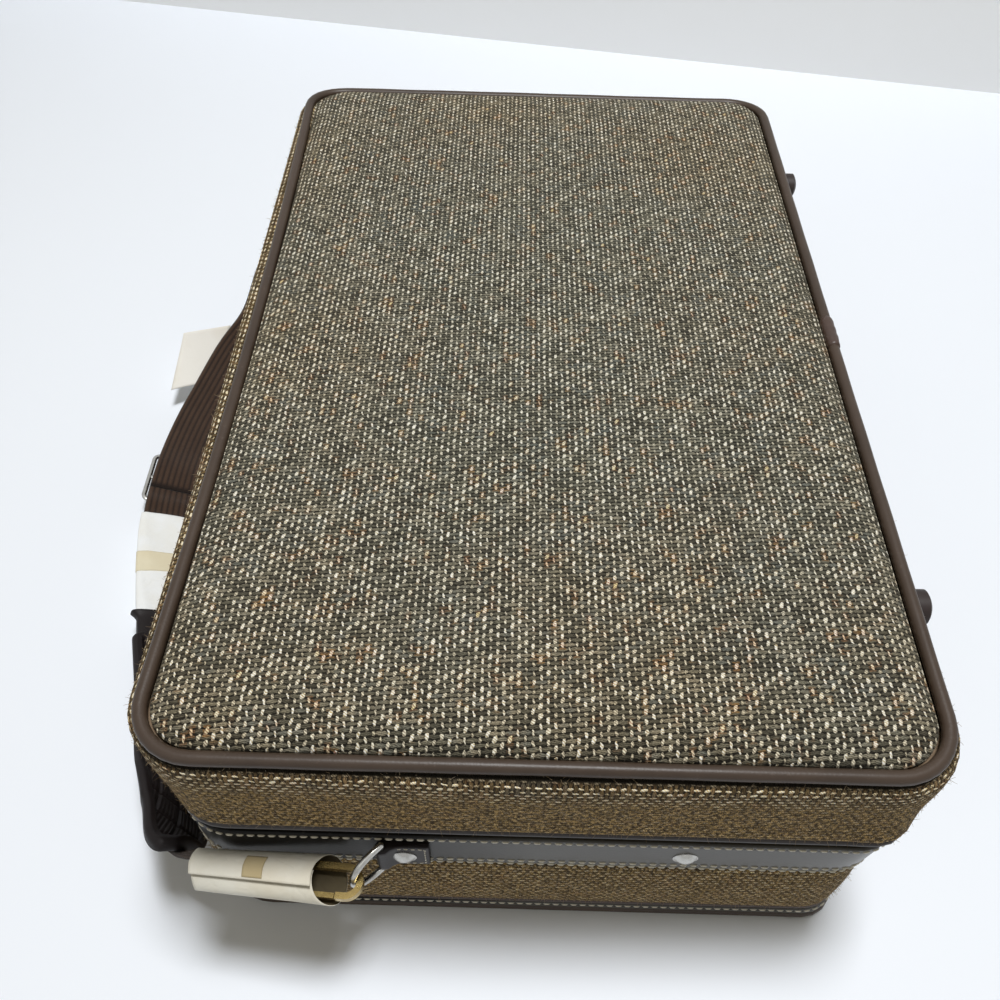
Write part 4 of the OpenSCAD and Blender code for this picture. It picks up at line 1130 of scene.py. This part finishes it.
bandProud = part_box("base_band")[1].x - case["halfW"]
bandSeams = stripOf("baseBand", "base_band", bandProud, 0.3 * mm, 31, (1.3 * mm, 5.2 * mm, -2.4 * mm))
edgeSeams = stripOf("baseEdge", "base_edge", 0.0, 0.2 * mm, 32, (4.8 * mm,))
lines = [roundLine(bandProud + 0.05 * mm, z) for z in bandSeams]
lines += [roundLine(-0.1 * mm, z) for z in edgeSeams]
settle(rowOf("baseStitches", "stitch", lines, stitch, thread), "base", "band_vinyl")
settle(hairsOn("baseHairs", baseRows, 6), "base", "tweed_side")
print("base skin made")


# Zip: tapes, and teeth that mesh half a pitch apart

zipper = {"run": outline(3 * mm, 0.140), "thick": 1 * mm, "in": 1.5 * mm, "shift": 0.3 * mm,
          "teeth": {"pitch": 2.4 * mm, "size": (1.25 * mm, 3.0 * mm, 2.5 * mm)}}
for half, side in (("lid", -1), ("base", 1)):
    low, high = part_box(half + "_zip_tape")
    out = -(case["halfW"] + low.x)
    section = [(out, low.z), (out, high.z), (out - zipper["thick"], high.z), (out - zipper["thick"], low.z)]
    tape = sweep(half + "ZipTape", section, zipCloth, zipper["run"], False)
    settle(tape, half, "zip_tape", half + "_zip_tape")
    low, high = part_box(half + "_zip_teeth")
    line = roundLine(-(case["halfW"] + low.x) - zipper["in"], (low.z + high.z) / 2 + side * zipper["shift"],
                     zipper["run"])
    if half == "lid":
        line[0] = tuple(np.array(line[0]) * 0.6 + np.array(line[1]) * 0.4)
    teeth = rowOf(half + "ZipTeeth", "tooth", [line], zipper["teeth"], zipBrass)
    settle(teeth, half, "zip_brass", half + "_zip_teeth")
print("zip made")


# Hinge side: one strip of vinyl that folds between base and lid, over the piped seam

tapeLow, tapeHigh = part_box("hinge_tape_base")[0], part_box("hinge_tape_lid")[1]
front = [(tapeHigh.x - 0.5 * mm * sin(pi * t), tapeLow.z + (tapeHigh.z - tapeLow.z) * t)
         for t in np.linspace(0, 1, 13)]
back = [(tapeLow.x, z) for _, z in front[::-1]]
hingeRows = [[(x, y, z) for x, z in front + back] for y in np.linspace(-tapeHigh.y, tapeHigh.y, 61)]
hingeStrip = loft("hingeStrip", hingeRows, weltVinyl)
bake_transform(hingeStrip)
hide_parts("hinge_tape_base", "hinge_tape_lid")
cordLow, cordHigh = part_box("hinge_cord")
cordAt = (cordLow + cordHigh) / 2
seamRows = []
for k, q in enumerate(np.linspace(-1, 1, 121)):
    r = (cordHigh.z - cordLow.z) / 2 * (1 + 0.03 * sin(k * 0.9)) * sqrt(max(0.02, 1 - abs(q) ** 40))
    y = cordAt.y + q * (cordHigh.y - cordLow.y) / 2
    seamRows.append([(a, y, b) for a, b in roundSection(r, cordAt.x, cordAt.z)])
settle(loft("hingeSeam", seamRows, pipingVinyl), "base", "welt_vinyl", "hinge_cord")


# Ends: the folded chapes that hold the dees, with their stitches

chape = {"back": 267.0 * mm, "face": 270.0 * mm, "eye": 3.15 * mm, "inset": 2.0 * mm, "sewn": 8 * mm,
         "edge": 0.2 * mm, "fall": ((2.2, 2.9), (4.2, 1.3), (6.5, 0.35), (9, 0))}


def chapeOf(name, node, side):
    low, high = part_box(node)
    eye, inset, face = chape["eye"], chape["inset"], chape["face"]
    x, y = low.x + eye, chape["back"] + eye
    loop = [(high.x, chape["back"]), (x, chape["back"])]
    loop += [(x + eye * cos(a), y - eye * sin(a)) for a in np.radians(range(105, 271, 15))]
    loop += [(x + a * mm, face + b * mm) for a, b in chape["fall"]]
    loop += [(high.x - 2 * mm, face), (high.x, face - chape["edge"])]
    rows = [[(a, b * side, z) for a, b in loop] for z in np.linspace(low.z, high.z, 9)]
    settle(soften(loft(name, rows, chapeVinyl), 0.45 * mm, 50), "base", "chape_vinyl", node)
    left, right, foot, head = x + chape["sewn"], high.x - inset, low.z + inset, high.z - inset
    line = [(a, face * side, z) for a, z in ((left, foot), (right, foot), (right, head), (left, head))]
    settle(rowOf(name + "Stitches", "stitch", [line], fineStitch, thread), "base", "chape_vinyl")


chapeOf("chapeNear", "chape_near", -1)
chapeOf("chapeFar", "chape_far", 1)


# Handle: covered grip with a sewn seam along its inner side

gripLow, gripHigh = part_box("handle_grip")
gripAt = (gripLow + gripHigh) / 2
grip = {"radius": (gripHigh.z - gripLow.z) / 2, "half": gripHigh.y, "seam": 0.5 * mm, "sewn": 52 * mm,
        "rows": 1.9 * mm}
gripRows = []
for q in np.linspace(-1, 1, 81):
    r = grip["radius"] * (0.84 + 0.15 * (1 - q * q) ** 0.7) * sqrt(max(0.12, 1 - abs(q) ** 30))
    r += 0.06 * mm * sin(90 * q)
    ring = []
    for j in range(28):
        a = 2 * pi * j / 28
        out = r - grip["seam"] * bell(j, 21, 1.1)
        ring.append((gripAt.x + out * cos(a), q * grip["half"], gripAt.z + out * sin(a)))
    gripRows.append(ring)
settle(loft("handleGrip", gripRows, handleVinyl), "handle", "handle_vinyl", "handle_grip")
lines = [[(gripAt.x + side * grip["rows"], y, gripAt.z - grip["radius"] * 0.955)
          for y in np.linspace(-grip["sewn"], grip["sewn"], 30)] for side in (1, -1)]
settle(rowOf("gripStitches", "stitch", lines, fineStitch, thread), "handle", "handle_vinyl")
print("hardware dressed")


# Inside: linings, packing straps, lid pocket with its gathered edge

lining = {"gap": 0.25 * mm, "floor": 0.75 * mm, "loose": 0.4 * mm, "wall": 0.5 * mm,
          "bend": [(0.3, 7 * mm), (1.2, 3.4 * mm), (3.2, 1.4 * mm), (6, 0.75 * mm)]}


def liningOf(name, node, body, up, seed):
    # up is 1 if the lining's mouth is at its top, else -1
    low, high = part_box(node)
    deep = high.z - low.z
    floor = low.z if up > 0 else high.z
    points, normals = run
    out = high.x - case["halfW"] - lining["gap"]
    wander = ripple(points, seed, 0.12, 0.35 * mm) + lining["loose"]
    rings = []
    for inset, h in [(0, deep * k / 6) for k in range(6, 0, -1)] + lining["bend"]:
        give = wander * (sin(pi * min(1, h / deep)) if inset == 0 else 0)
        flat = points + normals * (out - inset * mm - give)[:, None]
        rings.append([(x, y, floor + up * h) for x, y in flat])
    inner = np.array(rings[-1])
    for share in (0.9, 0.72, 0.5, 0.28, 0.08):
        rings.append([(x, y, floor + up * (lining["floor"] + 0.12 * mm * sin(60 * x) * sin(47 * y)))
                      for x, y, _ in inner * share])
    count = len(points)
    allPoints = np.vstack([np.array(rings).reshape(-1, 3), [(0, 0, floor + up * lining["floor"])]])
    faces = grid(len(rings), count, False, True) + fan((len(rings) - 1) * count, count, len(allPoints) - 1)
    uvs = [(x + 0.6 * z, y + 0.35 * z) for face in faces for x, y, z in allPoints[list(face)]]
    piece = thicken(addPiece(name, allPoints, faces, liningCloth, uvs), lining["wall"])
    settle(piece, body, "lining", node)
    flat = (2 * (case["halfW"] + deep), 2 * (case["halfL"] + deep))


liningOf("baseLining", "base_lining", "base", 1, 41)
liningOf("lidLining", "lid_lining", "lid", -1, 42)

tieLow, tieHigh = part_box("tie_straps")
tie = {"half": 12.5 * mm, "rib": 0.12 * mm, "edge": 0.2 * mm}
for side, end in ((-1, "Near"), (1, "Far")):
    rows = []
    for x in np.linspace(-tieHigh.x, tieHigh.x, 65):
        low, high = tieLow.z + 0.25 * mm, tieHigh.z + 0.1 * mm * sin(40 * x + side)
        ribs = [(q, high - tie["rib"] * (1 + cos(pi * 9 * q))) for q in np.linspace(-0.9, 0.9, 19)]
        ring = [(-1, low), (-0.96, high - tie["edge"])] + ribs + [(0.96, high - tie["edge"]), (1, low)]
        rows.append([(x, side * (tieHigh.y - tie["half"]) + q * tie["half"], z) for q, z in ring])
    settle(loft("packingStrap" + end, rows, strapCloth), "base", "elastic", "tie_straps")

pocketLow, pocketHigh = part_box("lid_pocket")
elasticLow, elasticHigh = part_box("pocket_elastic")
pocket = {"gathers": 34, "gather": 0.75 * mm, "belly": 0.9 * mm, "wall": 0.4 * mm, "full": 1.04}
elastic = {"half": 3.6 * mm, "deep": 1.05 * mm, "pucker": 0.125 * mm, "drop": 1.45 * mm}
waves = [(t, sin(2 * pi * pocket["gathers"] * t)) for t in np.linspace(0, 1, 171)]
pocketRows, elasticRows = [], []
for s in np.linspace(0, 1, 41):
    x = elasticLow.x + 2 * mm + (pocketHigh.x - elasticLow.x - 2 * mm) * s
    row = []
    for t, wave in waves:
        belly = pocket["belly"] * max(0, sin(pi * s)) ** 0.6 * max(0, sin(pi * t)) ** 0.4
        down = min(1, min(s, 1 - s) * 30, min(t, 1 - t) * 40)
        deep = (0.7 * mm + belly + pocket["gather"] * exp(-s * 5) * wave) * down
        row.append((x, pocketLow.y + (pocketHigh.y - pocketLow.y) * t, pocketHigh.z - 0.35 * mm - deep))
    pocketRows.append(row)
lidPocket = thicken(loft("lidPocket", pocketRows, liningCloth, closedRing=False), pocket["wall"])
settle(lidPocket, "lid", "lining", "lid_pocket")
for t, wave in waves:
    y = elasticLow.y + (elasticHigh.y - elasticLow.y) * t
    deep = elastic["deep"] + elastic["pucker"] * wave
    elasticRows.append([((elasticLow.x + elasticHigh.x) / 2 + elastic["half"] * cos(a), y,
                         elasticHigh.z - elastic["drop"] + deep * sin(a))
                        for a in np.linspace(0, 2 * pi, 17)[:-1]])
settle(loft("pocketElastic", elasticRows, strapCloth), "lid", "elastic", "pocket_elastic")
print("inside made")


# Solids that keep their shape get their finishes

solidFinish = {nickel: ["band_rivets", "chape_rivets", "handle_brackets", "bracket_rivets", "handle_loops",
                        "dee_near", "dee_far", "tie_buckles"],
               hookBrass: ["hook_near", "hook_far", "gate_near", "gate_far", "eye_near", "eye_far"],
               zipBrass: ["slider_near", "slider_far"], steel: ["handle_core"],
               pipingVinyl: ["pull_near", "pull_far"], footRubber: ["lid_feet", "base_feet"],
               board: ["lid_board", "base_board"], ply: ["lid_frame", "base_frame"],
               bandVinyl: ["base_panel"]}
for finish, nodes in solidFinish.items():
    for node in nodes:
        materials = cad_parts[node].data.materials
        materials.clear()
        materials.append(finish)
print("solids finished")


# Floor, backdrop and light

stage = {"floor": 4.0, "wall": ((-1.9, 1.087), (1.9, 0.450)), "wallHigh": 0.4}
floorPoints = [(x * stage["floor"], y * stage["floor"], 0) for x, y in ((-1, -1), (1, -1), (1, 1), (-1, 1))]
wallPoints = [(*end, 0) for end in stage["wall"]]
wallPoints += [(*end, stage["wallHigh"]) for end in stage["wall"][::-1]]
floor = addPiece("floor", floorPoints, [(0, 1, 2, 3)],
                 plainFinish("paleFloor", (0.84, 0.88, 0.95), (0.87, 0.91, 0.98)), outward=False)
wall = addPiece("wall", wallPoints, [(0, 1, 2, 3)],
                plainFinish("paleWall", (0.83, 0.84, 0.85), (0.87, 0.88, 0.89)), outward=False)

# The room lights warmly and dimly, and shows pale to the camera and in reflections
room = {"light": (1.0, 0.92, 0.72, 1), "strength": 0.215, "seen": (0.74, 0.75, 0.76, 1)}
world = bpy.data.worlds.new("room")
scene.world = world
world.use_nodes = True
lit, shown = world.node_tree.nodes["Background"], world.node_tree.nodes["World Output"]
seen, rays, some, every, both = addNodes(world.node_tree, "ShaderNodeBackground", "ShaderNodeLightPath",
                                         "ShaderNodeMath", "ShaderNodeMath", "ShaderNodeMixShader")
lit.inputs["Color"].default_value = room["light"]
lit.inputs["Strength"].default_value = room["strength"]
seen.inputs["Color"].default_value = room["seen"]
some.operation = every.operation = "MAXIMUM"
linkAll(world.node_tree, (rays, "Is Camera Ray", some, 0), (rays, "Is Glossy Ray", some, 1),
        (some, 0, every, 0), (rays, "Is Transmission Ray", every, 1), (every, 0, both, 0), (lit, 0, both, 1),
        (seen, 0, both, 2), (both, 0, shown, "Surface"))


def softbox(name, place, aim, size, watts, colour):
    lamp = bpy.data.lights.new(name, "AREA")
    lamp.size, lamp.energy, lamp.color = size, watts, colour
    holder = bpy.data.objects.new(name, lamp)
    holder.location = place
    holder.rotation_euler = (Vector(aim) - Vector(place)).to_track_quat("-Z", "Y").to_euler()
    scene.collection.objects.link(holder)


softbox("keyLight", (0.15, -0.07, 2.2), (0, 0, 0.1), 0.42, 41, (0.98, 0.99, 1.0))
softbox("fillLight", (-1.3, -1.6, 1.9), (0, -0.1, 0.1), 1.4, 4, (1.0, 0.98, 0.95))
print("stage set")
